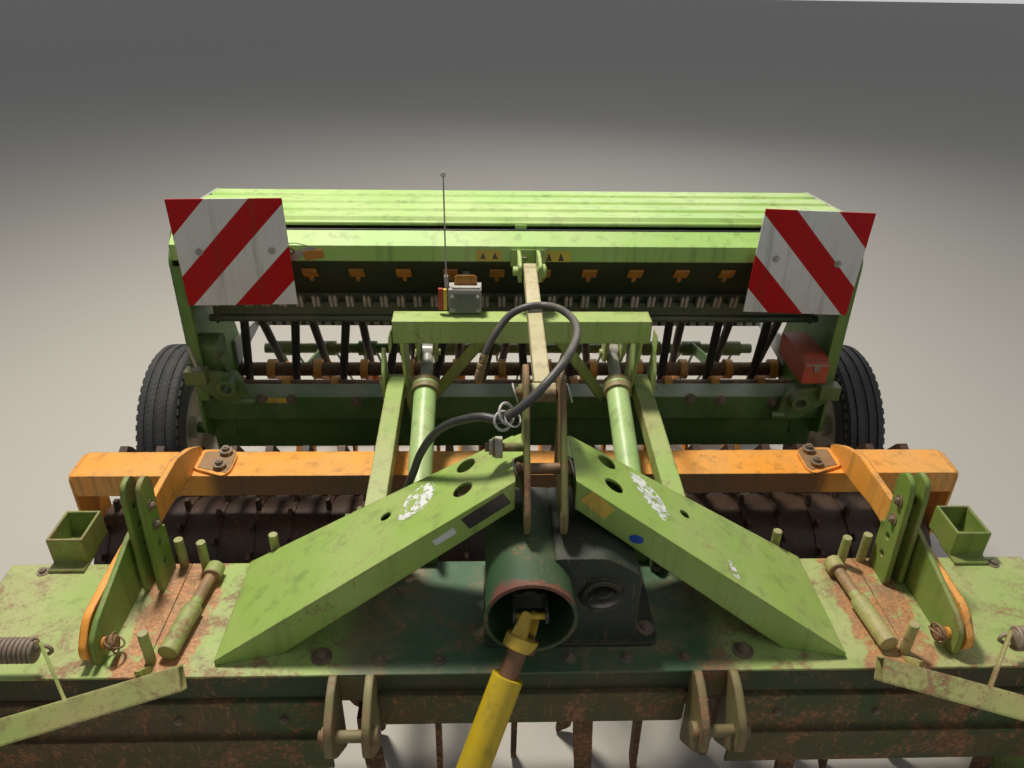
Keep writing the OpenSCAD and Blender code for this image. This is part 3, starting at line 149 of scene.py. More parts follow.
def ramp(tree, value, low, high):
    """Value taken from 0 at low to 1 at high, smoothly."""
    made = lay(tree, "ShaderNodeMapRange", {"Value": value, "From Min": low, "From Max": high})
    made.interpolation_type = "SMOOTHSTEP"
    return made.outputs["Result"]


def mixed(tree, share, a, b, kind="MIX"):
    """The colour a, turned by this share into the colour b."""
    return lay(tree, "ShaderNodeMix", {0: share, 6: a, 7: b}, data_type="RGBA", blend_type=kind).outputs[2]


def noise(tree, where, scale, detail=4.0, rough=0.55, twist=0.0):
    """Cloudy noise from 0 to 1, so many clouds to a metre."""
    values = {"Vector": where, "Scale": scale, "Detail": detail, "Roughness": rough, "Distortion": twist}
    return lay(tree, "ShaderNodeTexNoise", values).outputs["Fac"]


wear = bpy.data.node_groups.new("field_wear", "ShaderNodeTree")
for label, kind, value in (
    ("Paint", "Color", (0.17, 0.33, 0.06, 1.0)),
    ("Faded", "Color", (0.32, 0.42, 0.15, 1.0)),
    ("Dust", "Color", (0.42, 0.33, 0.2, 1.0)),
    ("Fade", "Float", 0.5),
    ("Chips", "Float", 0.3),
    ("Edge", "Float", 0.004),
    ("Soil", "Float", 0.3),
    ("Gloss", "Float", 0.4),
):
    socket = wear.interface.new_socket(label, in_out="INPUT", socket_type="NodeSocket" + kind)
    socket.default_value = value
for label, kind in (("Color", "Color"), ("Roughness", "Float"), ("Height", "Float"), ("Normal", "Vector")):
    wear.interface.new_socket(label, in_out="OUTPUT", socket_type="NodeSocket" + kind)
given, result = wear.nodes.new("NodeGroupInput").outputs, wear.nodes.new("NodeGroupOutput")
spot = lay(wear, "ShaderNodeTexCoord").outputs["Object"]
surface = lay(wear, "ShaderNodeNewGeometry")
rise = lay(wear, "ShaderNodeSeparateXYZ", {0: surface.outputs["Normal"]}).outputs["Z"]
cloud = noise(wear, spot, 3.1, 6.0, 0.62, 0.3)
blotch = noise(wear, spot, 8.5, 8.0, 0.68, 0.5)
fine = noise(wear, spot, 75.0, 8.0, 0.72)
grit = noise(wear, spot, 420.0, 3.0, 0.6)
long_way = lay(wear, "ShaderNodeMapping", {"Vector": spot, "Scale": (22.0, 22.0, 1.6)}).outputs[0]
run = noise(wear, long_way, 1.0, 5.0, 0.6)
fade = times(wear, ramp(wear, cloud, 0.36, 0.66), given["Fade"])
paint = mixed(wear, fade, given["Paint"], given["Faded"])
paint = mixed(wear, times(wear, ramp(wear, run, 0.5, 0.72), 0.34), paint, (0.05, 0.062, 0.022, 1.0))
paint = mixed(
    wear, times(wear, ramp(wear, fine, 0.3, 0.8), 0.25), paint, (0.5, 0.55, 0.35, 1.0), "SOFT_LIGHT"
)
slant = lay(
    wear, "ShaderNodeMapping", {"Vector": spot, "Rotation": (0.5, 0.9, 0.6), "Scale": (160.0, 160.0, 14.0)}
).outputs[0]
scratch = times(
    wear, ramp(wear, noise(wear, slant, 1.0, 3.0, 0.6), 0.635, 0.66), ramp(wear, cloud, 0.46, 0.56)
)
scratch = times(wear, scratch, times(wear, given["Chips"], 1.6), True)
paint = mixed(wear, scratch, paint, (0.33, 0.15, 0.06, 1.0))
# Bare rust shows in flecks, in worn blotches and along the edges
soft_edge = lay(wear, "ShaderNodeBevel", {"Radius": given["Edge"]}, samples=4).outputs[0]
facing = lay(
    wear, "ShaderNodeVectorMath", {0: soft_edge, 1: surface.outputs["Normal"]}, operation="DOT_PRODUCT"
)
edge = ramp(wear, sums(wear, "SUBTRACT", 1.0, facing.outputs["Value"]), 0.02, 0.16)
edge = times(wear, edge, ramp(wear, blotch, 0.42, 0.56))
edge = times(wear, edge, ramp(wear, fine, 0.40, 0.54))
patches = sums(wear, "ADD", times(wear, blotch, 0.6), times(wear, fine, 0.4))
start = sums(wear, "SUBTRACT", 0.74, times(wear, given["Chips"], 0.30))
chip = ramp(wear, patches, start, sums(wear, "ADD", start, 0.035))
bare = sums(wear, "MAXIMUM", edge, chip)
halo = ramp(wear, patches, sums(wear, "SUBTRACT", start, 0.05), start)
paint = mixed(wear, times(wear, halo, 0.45), paint, (0.19, 0.11, 0.045, 1.0))
rust = mixed(wear, ramp(wear, fine, 0.35, 0.68), (0.10, 0.042, 0.018, 1.0), (0.38, 0.18, 0.075, 1.0))
rust = mixed(wear, times(wear, ramp(wear, grit, 0.5, 0.75), 0.4), rust, (0.36, 0.2, 0.1, 1.0))
# Dust lies on what faces up and gathers in blotches
cover = sums(wear, "ADD", times(wear, cloud, 0.55), times(wear, blotch, 0.45))
lie = times(wear, ramp(wear, rise, 0.25, 0.95), ramp(wear, cover, 0.40, 0.60))
lie = times(wear, lie, ramp(wear, grit, 0.25, 0.6))
lie = sums(wear, "ADD", lie, times(wear, ramp(wear, blotch, 0.45, 0.7), 0.22))
lie = times(wear, lie, given["Soil"], True)
colour = mixed(wear, bare, paint, rust)
colour = mixed(wear, lie, colour, given["Dust"])
matt = sums(wear, "MAXIMUM", times(wear, bare, 0.85), times(wear, lie, 0.9))
matt = sums(wear, "MAXIMUM", matt, sums(wear, "ADD", given["Gloss"], times(wear, blotch, 0.12)))
high = sums(wear, "SUBTRACT", times(wear, lie, 0.5), times(wear, bare, 0.6))
sand = sums(wear, "ADD", fine, times(wear, grit, 0.4))
high = sums(wear, "ADD", high, times(wear, sand, 0.35))
wear.links.new(colour, result.inputs["Color"])
wear.links.new(matt, result.inputs["Roughness"])
wear.links.new(high, result.inputs["Height"])
wear.links.new(soft_edge, result.inputs["Normal"])


def worn_paint(
    name, paint, faded, fade, chips, edge, soil, gloss, dust=(0.40, 0.30, 0.18), relief=0.0012, coat=0.0
):
    """Weathered paint on steel, or another finish that wears in the same way."""
    made = bpy.data.materials.new(name)
    made.use_nodes = True
    tree = made.node_tree
    shader = tree.nodes["Principled BSDF"]
    worn = lay(tree, "ShaderNodeGroup", node_tree=wear)
    worn.name = "wear"
    for label, value in (
        ("Paint", (*paint, 1.0)),
        ("Faded", (*faded, 1.0)),
        ("Dust", (*dust, 1.0)),
        ("Fade", fade),
        ("Chips", chips),
        ("Edge", edge),
        ("Soil", soil),
        ("Gloss", gloss),
    ):
        worn.inputs[label].default_value = value
    tree.links.new(worn.outputs["Color"], shader.inputs["Base Color"])
    tree.links.new(worn.outputs["Roughness"], shader.inputs["Roughness"])
    bump = lay(
        tree, "ShaderNodeBump", {"Height": worn.outputs["Height"], "Strength": 0.55, "Distance": relief}
    )
    tree.links.new(worn.outputs["Normal"], bump.inputs["Normal"])
    tree.links.new(bump.outputs[0], shader.inputs["Normal"])
    shader.inputs["Coat Weight"].default_value = coat
    return made


def opened(material):
    """The tree of this paint, with the place of each point and its X, Y and Z in metres."""
    tree = material.node_tree
    where = lay(tree, "ShaderNodeTexCoord").outputs["Object"]
    return tree, where, *lay(tree, "ShaderNodeSeparateXYZ", {0: where}).outputs


def repaint(material, share, paint, faded=None):
    """Where the share is 1, the two colours of this paint turn to others."""
    tree = material.node_tree
    for label, colour in (("Paint", paint), ("Faded", faded or paint)):
        socket = tree.nodes["wear"].inputs[label]
        before = socket.links[0].from_socket if socket.links else tuple(socket.default_value)
        after = (*colour, 1.0) if isinstance(colour, tuple) else colour
        tree.links.new(mixed(tree, share, before, after), socket)


def finish(material, *names):
    """The CAD nodes of these names take this material."""
    for name in names:
        slots = node[name].data.materials
        slots.clear()
        slots.append(material)


front_shift = -129.566


def at(x, y, z):
    """A point in metres, from millimetres with Y measured from the roller beam's front."""
    return Vector((x, y + front_shift, z)) / 1000.0


def seen_at(name, px, py):
    """Where this CAD node shows at a pixel of the 1024 by 768 picture, and how its face looks."""
    if name not in seen_at.trees:
        seen_at.trees[name] = BVHTree.FromObject(node[name], bpy.context.evaluated_depsgraph_get())
    reach = sensor / lens / picture_w
    across, down = (px - picture_w / 2) * reach, (py - picture_h / 2) * reach
    way = (ahead + right * across - up * down).normalized()
    place, normal, index, far = seen_at.trees[name].ray_cast(eye, way)
    return place, normal


seen_at.trees = {}


def geometry_tree(name, *inputs):
    """A Geometry Nodes tree with named inputs, and the outputs of its input node."""
    tree = bpy.data.node_groups.new(name, "GeometryNodeTree")
    for label, kind in (("Spots", "Geometry"), ("Finish", "Material"), *inputs):
        tree.interface.new_socket(label, in_out="INPUT", socket_type="NodeSocket" + kind)
    tree.interface.new_socket("Made", in_out="OUTPUT", socket_type="NodeSocketGeometry")
    return tree, tree.nodes.new("NodeGroupInput").outputs


def stand_on_spots(tree, given, shape, scale=1.0, twist=None):
    """Ends the tree: the shape stands on each spot along its way, as real mesh in its finish."""
    way = lay(tree, "GeometryNodeInputNamedAttribute", {"Name": "way"}, data_type="FLOAT_VECTOR")
    turn = lay(tree, "FunctionNodeAlignRotationToVector", {"Vector": way.outputs["Attribute"]}, axis="Z")
    placing = {"Points": given["Spots"], "Instance": shape, "Rotation": turn.outputs[0]}
    placed = lay(tree, "GeometryNodeInstanceOnPoints", placing)
    if scale != 1.0:
        tree.links.new(scale, placed.inputs["Scale"])
    if twist:
        around = lay(tree, "ShaderNodeCombineXYZ", {"Z": twist}).outputs[0]
        placed = lay(
            tree, "GeometryNodeRotateInstances", {"Instances": placed.outputs[0], "Rotation": around}
        )
    real = lay(tree, "GeometryNodeRealizeInstances", {"Geometry": placed.outputs[0]}).outputs[0]
    dressed = lay(tree, "GeometryNodeSetMaterial", {"Geometry": real, "Material": given["Finish"]})
    tree.links.new(dressed.outputs[0], tree.nodes.new("NodeGroupOutput").inputs[0])


# A bolt is a hexagon head on a washer, with the end of its thread. Each part is
# given by its sides and, as shares of the head's width: radius, height, middle
bolts, given = geometry_tree("hexagon_bolts", ("Across", "Float"), ("Seed", "Int"))
across = given["Across"]
whole = bolts.nodes.new("GeometryNodeJoinGeometry")
for sides, wide, tall, lift in ((20, 1.0, 0.14, 0.07), (6, 0.577, 0.55, 0.41), (10, 0.30, 0.16, 0.76)):
    sizes = {"Vertices": sides, "Radius": times(bolts, across, wide), "Depth": times(bolts, across, tall)}
    drum = lay(bolts, "GeometryNodeMeshCylinder", sizes).outputs["Mesh"]
    shift = lay(bolts, "ShaderNodeCombineXYZ", {"Z": times(bolts, across, lift)}).outputs[0]
    part = lay(bolts, "GeometryNodeTransform", {"Geometry": drum, "Translation": shift})
    bolts.links.new(part.outputs[0], whole.inputs[0])
chance = lay(bolts, "FunctionNodeRandomValue", {2: 0.0, 3: 6.28, "Seed": given["Seed"]})
stand_on_spots(bolts, given, whole.outputs[0], twist=chance.outputs[1])


def grow(name, tree, spots, values, body):
    """The plain mesh that this tree makes on spots, each a place and a way, riding on the body."""
    base = bpy.data.meshes.new(name)
    base.from_pydata([place for place, way in spots], [], [])
    ways = base.attributes.new("way", "FLOAT_VECTOR", "POINT")
    for item, (place, way) in zip(ways.data, spots):
        item.vector = way
    piece = bpy.data.objects.new(name, base)
    scene.collection.objects.link(piece)
    step = piece.modifiers.new("grow", "NODES")
    step.node_group = tree
    for item in tree.interface.items_tree:
        if item.in_out == "INPUT" and item.name in values:
            step[item.identifier] = values[item.name]
    shape = piece.evaluated_get(bpy.context.evaluated_depsgraph_get())
    grown = bpy.data.meshes.new_from_object(shape)
    piece.modifiers.remove(step)
    piece.data = grown
    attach(piece, body)
    return piece


def bolt(name, body, spots, across=0.019, material=None):
    """Bolts of this size across their flats, each at a place and looking one way."""
    values = {"Across": across, "Finish": material or bolt_steel, "Seed": 3}
    return grow(name, bolts, spots, values, body)


def seen_spots(name, *pixels):
    """The places on this CAD node that show at these pixels, each with the way its face looks."""
    return [seen_at(name, px, py) for px, py in pixels]


bolt_steel = worn_paint(
    "bolt_steel", (0.14, 0.10, 0.07), (0.3, 0.24, 0.18), 0.7, 0.5, 0.002, 0.3, 0.5, relief=0.0004
)
deck_paint = worn_paint("deck_paint", (0.33, 0.45, 0.12), (0.48, 0.54, 0.22), 0.75, 0.60, 0.006, 0.45, 0.5)
tree, where, x, y, z = opened(deck_paint)
dark_half = 0.50
ragged = times(tree, noise(tree, where, 6.0, 5.0, 0.6), 0.12)
# The middle plate is painted darker: its own bluish green paint, and painted shade of the headstock over it
dark_middle_and_shade = ramp(tree, sums(tree, "ADD", sums(tree, "ABSOLUTE", x), ragged), dark_half + 0.09, dark_half)
repaint(deck_paint, dark_middle_and_shade, (0.050, 0.125, 0.055), (0.080, 0.115, 0.065))
# Between the hinges and the legs the paint has gone and the plate is red
ragged = times(tree, sums(tree, "SUBTRACT", noise(tree, where, 9.0, 6.0, 0.65), 0.5), 0.16)
along = sums(tree, "ADD", sums(tree, "ABSOLUTE", x), ragged)
bald = times(tree, ramp(tree, along, 0.850, 0.864), ramp(tree, along, 1.052, 1.040))
bald = times(tree, bald, ramp(tree, noise(tree, where, 26.0, 6.0, 0.7), 0.36, 0.46))
speckle = ramp(tree, noise(tree, where, 120.0, 5.0, 0.7), 0.3, 0.7)
repaint(deck_paint, bald, mixed(tree, speckle, (0.30, 0.115, 0.045, 1.0), (0.66, 0.31, 0.12, 1.0)))
finish(deck_paint, "deck_plates")
trough_brown = (0.12, 0.075, 0.04)
finish(
    worn_paint(
        "trough_paint",
        (0.030, 0.050, 0.018),
        (0.075, 0.055, 0.03),
        0.9,
        0.50,
        0.006,
        0.65,
        0.65,
        trough_brown,
    ),
    "gear_trough",
)
side_plate_paint = worn_paint(
    "side_plate_paint", (0.22, 0.33, 0.07), (0.38, 0.46, 0.16), 0.7, 0.6, 0.006, 0.5, 0.5
)
finish(side_plate_paint, "side_plates")
sky_way = Vector((0.0, 0.0, 1.0))
front_pixels = (380, 660), (439, 660), (570, 658), (627, 658), (684, 657), (401, 592)
rear_spots = [(at(x, -420, 678.2), sky_way) for x in (-1380, -1180, -620, -560, 560, 620, 1180, 1380)]
bolt("deck_bolts", "harrow", seen_spots("deck_plates", *front_pixels) + rear_spots, 0.017)
bolt("deck_corner_bolts", "harrow", seen_spots("deck_plates", (322, 657), (743, 651)), 0.027)

# Stone guards and rotors: spring steel strips and forged knife holders that
# work in the soil, so little paint is left and they are brown with rust.
guard_rust = worn_paint(
    "guard_rust", (0.045, 0.075, 0.022), (0.12, 0.07, 0.035), 0.9, 0.7, 0.008, 0.5, 0.65, (0.16, 0.10, 0.055)
)
soil_rust = worn_paint(
    "soil_rust", (0.075, 0.035, 0.018), (0.14, 0.07, 0.035), 0.8, 0.75, 0.004, 0.35, 0.7, (0.2, 0.12, 0.07)
)
finish(guard_rust, "front_guard")
finish(soil_rust, *[f"rotor_{number}" for number in range(1, 11)])
bolt(
    "guard_bolts",
    "harrow",
    [(at(side * x, -787.5, 520), Vector((0, -1, 0.05))) for side in (-1, 1) for x in (640, 905, 1170, 1345)],
    0.019,
)


def close(name, made, material, body, soft=0.0):
    """The finished piece from this bmesh, its edges rounded by so many metres."""
    bmesh.ops.remove_doubles(made, verts=made.verts, dist=1e-6)
    bmesh.ops.recalc_face_normals(made, faces=made.faces)
    mesh = bpy.data.meshes.new(name)
    made.to_mesh(mesh)
    made.free()
    mesh.materials.append(material)
    piece = bpy.data.objects.new(name, mesh)
    scene.collection.objects.link(piece)
    if soft:
        rounding = piece.modifiers.new("rounding", "BEVEL")
        rounding.width = soft
        rounding.segments = 2
        rounding.limit_method = "ANGLE"
    if body:
        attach(piece, body)
    return piece


def tube_through(made, rings):
    """Adds the closed skin over rings of points, with a face at each end."""
    rings = [[made.verts.new(point) for point in ring] for ring in rings]
    for low, high in zip(rings, rings[1:]):
        for k in range(len(low)):
            made.faces.new((low[k - 1], low[k], high[k], high[k - 1]))
    made.faces.new(reversed(rings[0]))
    made.faces.new(rings[-1])


def circle(middle, across, other, radius, sides):
    """Points round a middle, in the plane of two unit vectors."""
    turns = [k * math.tau / sides for k in range(sides)]
    return [middle + radius * (across * math.cos(turn) + other * math.sin(turn)) for turn in turns]


def revolve(made, start, end, profile, sides=28):
    """Adds a turned part: its profile gives shares of the way and radii in metres."""
    turn = (end - start).to_track_quat("Z", "Y")
    across, other = turn @ Vector((1, 0, 0)), turn @ Vector((0, 1, 0))
    tube_through(
        made, [circle(start.lerp(end, share), across, other, radius, sides) for share, radius in profile]
    )


def slab(made, outline, thick):
    """Adds a flat plate from its outline and the vector through its thickness."""
    low = [made.verts.new(place) for place in outline]
    high = [made.verts.new(place + Vector(thick)) for place in outline]
    made.faces.new(reversed(low))
    made.faces.new(high)
    for k in range(len(low)):
        made.faces.new((low[k - 1], low[k], high[k], high[k - 1]))


def smooth_way(points, parts=6):
    """Points on the smooth curve through these points."""
    out = []
    for k in range(len(points) - 1):
        a = points[k - 1] if k else points[0] * 2 - points[1]
        b, c = points[k], points[k + 1]
        d = points[k + 2] if k + 2 < len(points) else c * 2 - b
        for j in range(parts):
            t = j / parts
            out.append(b + t / 2 * (c - a + t * (2 * a - 5 * b + 4 * c - d + t * (3 * b - a - 3 * c + d))))
    return out + [points[-1]]


def sweep(made, points, radius, sides=14):
    """Adds a round rod, wire or hose along these points, with closed ends."""
    rings, across = [], (points[1] - points[0]).normalized().orthogonal()
    for k, place in enumerate(points):
        way = (points[min(k + 1, len(points) - 1)] - points[max(k - 1, 0)]).normalized()
        across = (across - way * across.dot(way)).normalized()
        rings.append(circle(place, across, way.cross(across), radius, sides))
    tube_through(made, rings)


def loop(made, centre, axis, radius, wire, turns=1.0, rise=0.0, sides=10):
    """Adds a ring, or a helix that rises along its axis."""
    turn = Vector(axis).to_track_quat("Z", "Y")
    steps = int(28 * turns)
    points = []
    for k in range(steps + 1):
        a = k / steps * turns * math.tau
        points.append(centre + turn @ Vector((radius * math.cos(a), radius * math.sin(a), rise * k / steps)))
    sweep(made, points, wire, sides)


def smooth(piece, angle=40):
    """The faces of this piece are shaded round where they meet at a small angle."""
    for face in piece.data.polygons:
        face.use_smooth = True
    piece.data.set_sharp_from_angle(angle=math.radians(angle))
    return piece


# Hitch brackets: pairs of flame-cut plates welded to the trough, whose edges
# are worn bright by the tractor's link ends, with a loose pin kept by clips.
hitch_paint = worn_paint("hitch_paint", (0.17, 0.13, 0.05), (0.26, 0.27, 0.11), 0.7, 0.66, 0.012, 0.4, 0.5)
finish(hitch_paint, "hitch_brackets")
pin_rust = worn_paint("pin_rust", (0.16, 0.075, 0.035), (0.32, 0.19, 0.11), 0.7, 0.6, 0.003, 0.25, 0.45)
clips = bmesh.new()
for side in (-1, 1):
    for out in (-1, 1):
        loop(clips, at(side * 452 + out * 62, -891, 584), (1, 0, 0.2), 0.021, 0.0022)
smooth(close("hitch_clips", clips, pin_rust, "harrow"))

# Headstock legs: two box arms folded from sheet, in the freshest green, with
# torn white film, a blank rating plate and blank labels stuck on them.
leg_paint = worn_paint(
    "leg_paint", (0.29, 0.44, 0.085), (0.40, 0.53, 0.16), 0.6, 0.40, 0.007, 0.22, 0.42, coat=0.06
)
finish(leg_paint, "headstock_legs")


glue = 0.0002


def film(name, pixels, carrier, body, material, thick=0.0005):
    """A thin sheet stuck on the carrier, whose corners show at these pixels."""
    made = bmesh.new()
    found = seen_spots(carrier, *pixels)
    normal = sum((way for place, way in found), Vector()) / len(found)
    slab(made, [place + normal * glue for place, way in found], normal * thick)
    return close(name, made, material, body)


def stick(name, carrier, middle, toward, length, height, body, material, thick=0.0006):
    """A flat plate on the carrier, its middle and the way of its length given as pixels."""
    place, normal = seen_at(carrier, *middle)
    along = seen_at(carrier, *toward)[0] - place
    along = (along - normal * along.dot(normal)).normalized() * length / 2
    over = normal.cross(along).normalized() * height / 2
    made = bmesh.new()
    middle = place + normal * glue
    left, far_side = middle - along, middle + along
    slab(made, [left - over, far_side - over, far_side + over, left + over], normal * thick)
    return close(name, made, material, body)


label_white = worn_paint("label_white", (0.70, 0.71, 0.68), (0.6, 0.62, 0.56), 0.4, 0.1, 0.001, 0.15, 0.45)
torn_white = worn_paint("torn_white", (0.80, 0.81, 0.78), (0.68, 0.70, 0.64), 0.4, 0.1, 0.001, 0.12, 0.45)
tree, where, x, y, z = opened(torn_white)
scraps = ramp(tree, noise(tree, where, 46.0, 4.0, 0.6, 0.8), 0.47, 0.49)
tree.links.new(scraps, tree.nodes["Principled BSDF"].inputs["Alpha"])
left_scraps = (398, 520), (402, 508), (408, 497), (417, 489), (425, 484), (435, 481), (436, 490), (430, 500)
left_scraps += (424, 508), (414, 514), (405, 520)
film("torn_film_left", left_scraps, "headstock_legs", "harrow", torn_white)
right_scraps = (629, 471), (640, 477), (648, 484), (656, 493), (663, 503), (669, 514), (669, 520), (664, 521)
right_scraps += (657, 513), (648, 503), (640, 492), (633, 481)
film("torn_film_right", right_scraps, "headstock_legs", "harrow", torn_white)
scratched = (728, 560), (732, 562), (740, 577), (739, 580), (734, 576)
film("scratched_film", scratched, "headstock_legs", "harrow", torn_white)
plate_black = worn_paint("plate_black", (0.035, 0.026, 0.026), (0.17, 0.13, 0.13), 0.6, 0.2, 0.002, 0.2, 0.35)
stick(
    "rating_plate",
    "headstock_legs",
    (486, 511),
    (505, 499),
    0.122,
    0.040,
    "harrow",
    plate_black,
    0.001,
)
film(
    "white_strip",
    [(432, 541), (453.5, 527.5), (457, 533), (436, 545.5)],
    "headstock_legs",
    "harrow",
    label_white,
)
label_yellow = worn_paint("label_yellow", (0.72, 0.52, 0.07), (0.60, 0.43, 0.12), 0.5, 0.16, 0.001, 0.15, 0.4)
stick("label_right", "headstock_legs", (598, 505), (613, 517), 0.078, 0.044, "harrow", label_yellow)
dot_blue = worn_paint("dot_blue", (0.01, 0.07, 0.42), (0.03, 0.11, 0.38), 0.4, 0.08, 0.001, 0.1, 0.35)
turns = [k * math.tau / 16 for k in range(16)]
dot = [(636.5 + 7.5 * math.cos(a), 539.2 + 4.3 * math.sin(a) + 1.2 * math.cos(a)) for a in turns]
film("blue_dot", dot, "headstock_legs", "harrow", dot_blue)

# Headstock plates: two thick plates with the pins of the top link and of the
# drill's upper link, browned where the link rubs them, with spring clips.
plate_paint = worn_paint("plate_paint", (0.13, 0.17, 0.035), (0.25, 0.16, 0.07), 0.85, 0.70, 0.016, 0.3, 0.55)
finish(plate_paint, "headstock_plates")
steel_bright = worn_paint(
    "steel_bright", (0.50, 0.49, 0.46), (0.36, 0.33, 0.29), 0.6, 0.25, 0.002, 0.15, 0.3, relief=0.0005
)
pins = bmesh.new()
for y, z, left, right_end in ((-535, 1122, -48, 94), (-391, 1255, -46, 92)):
    for x in (left, right_end):
        loop(pins, at(x, y, z), (1, 0.1, 0.3), 0.024, 0.0025)
    foot, head = at(right_end - 2, y - 12, z), at(right_end - 2, y + 30, z)
    revolve(pins, foot, head, ((0, 0.004), (0.1, 0.005), (0.9, 0.005), (1, 0.004)), 12)
smooth(close("headstock_clips", pins, steel_bright, "harrow"))
stud = bmesh.new()
washers = (0, 0.016), (0.04, 0.0195), (0.22, 0.0195), (0.25, 0.023), (0.42, 0.023), (0.45, 0.0275)
revolve(stud, at(-114, -505, 1166), at(-80, -505, 1166), (*washers, (0.96, 0.0275), (1, 0.026)))
washer_cream = worn_paint(
    "washer_cream", (0.46, 0.43, 0.34), (0.30, 0.25, 0.17), 0.6, 0.35, 0.002, 0.2, 0.5, relief=0.0006
)
smooth(close("stud_washers", stud, washer_cream, "harrow"))
pin_sleeve = bmesh.new()
collars = (0, 0.0150), (0.01, 0.0172), (0.075, 0.0172), (0.08, 0.0142), (0.91, 0.0142), (0.915, 0.0172)
revolve(pin_sleeve, at(-47, -535, 1122), at(95, -535, 1122), (*collars, (0.99, 0.0172), (1, 0.015)), 28)
smooth(close("link_pin_sleeve", pin_sleeve, pin_rust, "harrow"))

# Hydraulic hose: black rubber in its tough cover, from the port on the left
# bracket through wire rings on the headstock to a parked coupling. It bends
# over the upper link's pivot.
hose_rubber = worn_paint(
    "hose_rubber", (0.022, 0.022, 0.024), (0.075, 0.075, 0.075), 0.7, 0.0, 0.001, 0.22, 0.42, relief=0.0006
)
hose_way = [
    (
        -370, -418, 738
    ), (-366, -417, 772), (-359, -401, 802), (-357, -386, 832), (-354, -382, 875), (-342, -380, 930),
    (-318, -378, 997), (
        -299, -380, 1053
    ), (-266, -398, 1121), (-226, -425, 1176), (-184, -452, 1212), (-136, -482, 1241),
    (
        -99, -498, 1245
    ), (-75, -502, 1251), (-39, -502, 1279), (0, -488, 1310), (24, -475, 1332), (50, -446, 1347),
    (78, -400, 1359), (112, -290, 1349), (126, -200, 1342), (122, -110, 1331), (94, -40, 1326), (56, 3, 1317),
    (9, 3, 1315), (-29, 0, 1302), (-59, -5, 1280), (-88, -24, 1247), (
        -112, -42, 1209
    ), (-127, -55, 1179), (-131, -58, 1168),
]
hose = bmesh.new()
hose_radius = 0.011
hose_line = smooth_way([at(*place) for place in hose_way], 5)
sweep(hose, hose_line, hose_radius, 16)
hose = smooth(close("hose", hose, hose_rubber, None))
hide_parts("hose_line", "hose_loop")
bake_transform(hose)
coupling = bmesh.new()
sleeve = (0, 0.0125), (0.08, 0.0135), (0.3, 0.0135), (0.32, 0.011), (0.36, 0.011), (0.38, 0.0149)
plug = (0.52, 0.0149), (0.54, 0.0115), (0.6, 0.0115), (0.62, 0.014), (0.9, 0.014), (1.0, 0.011)
revolve(coupling, at(-124, -52, 1184), at(-145, -73, 1105), sleeve + plug)
brass = worn_paint(
    "coupling_brass", (0.30, 0.19, 0.07), (0.20, 0.15, 0.09), 0.7, 0.4, 0.002, 0.3, 0.4, relief=0.0004
)
coupling = smooth(close("hose_coupling", coupling, brass, "link"))
fitting = bmesh.new()
revolve(
    fitting,
    at(-370, -418, 738.2),
    at(-369, -417.6, 766),
    ((0, 0.0175), (0.45, 0.0175), (0.5, 0.0145), (1, 0.0145)),
    6,
)
smooth(close("hose_fitting", fitting, steel_bright, "harrow"), 20)
rings = bmesh.new()
loop(rings, at(-71, -500, 1262), (0.9, -0.6, 0.6), 0.026, 0.0036)
loop(rings, at(-80, -503, 1243), (0.5, -0.8, 0.5), 0.023, 0.0036)
loop(rings, at(-56, -503, 1250), (0.6, -0.6, 1.0), 0.022, 0.0026)
smooth(close("hose_rings", rings, steel_bright, "harrow"))

# Gearbox and fixed shaft guard: a casting in dark green under a film of oil
# and dust, with a black cap on its side shaft, bolted down through its foot.
cast_paint = worn_paint(
    "cast_paint",
    (0.010, 0.020, 0.011),
    (0.024, 0.030, 0.020),
    0.75,
    0.34,
    0.006,
    0.14,
    0.56,
    (0.16, 0.13, 0.09),
    relief=0.003,
)
# The guard's dark green is lowered further as painted shade of the headstock
guard_paint_and_shade = worn_paint(
    "guard_paint_and_shade", (0.018, 0.062, 0.018), (0.038, 0.078, 0.036), 0.6, 0.42, 0.010, 0.08, 0.58
)
finish(cast_paint, "gearbox")
# Round the top of its mouth the guard is rusty
low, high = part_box("pto_guard")
tree, where, x, y, z = opened(guard_paint_and_shade)
frayed = times(tree, noise(tree, where, 16.0, 5.0, 0.65), 0.09)
lip = ramp(tree, sums(tree, "SUBTRACT", y, frayed), low.y - 0.012, low.y - 0.026)
repaint(guard_paint_and_shade, times(tree, lip, ramp(tree, z, high.z - 0.075, high.z - 0.045)), (0.13, 0.045, 0.028))
finish(guard_paint_and_shade, "pto_guard")
black_plastic = worn_paint(
    "black_plastic", (0.008, 0.008, 0.008), (0.02, 0.02, 0.02), 0.6, 0.0, 0.001, 0.05, 0.55, relief=0.0006
)
place, normal = seen_at("gearbox", 602, 601)
rim_place = seen_at("gearbox", 586, 600)[0]
place = place + normal * (max((rim_place - place).dot(normal), 0.0) + 0.0005)
cap = bmesh.new()
steps = (0, 0.060), (0.4, 0.060), (0.55, 0.056), (0.6, 0.036), (0.95, 0.033), (1.0, 0.02)
revolve(cap, place, place + normal * 0.016, steps, 32)
spokes = 8
for k in range(spokes):
    spoke = normal.orthogonal().normalized()
    spoke.rotate(Matrix.Rotation(k * math.tau / spokes, 3, normal))
    sweep(cap, [place + normal * 0.010 + spoke * 0.018, place + normal * 0.009 + spoke * 0.050], 0.0035, 6)
smooth(close("shaft_cap", cap, black_plastic, "harrow"))
bolt("gearbox_bolts", "harrow", seen_spots("gearbox", (645, 628)), 0.024)

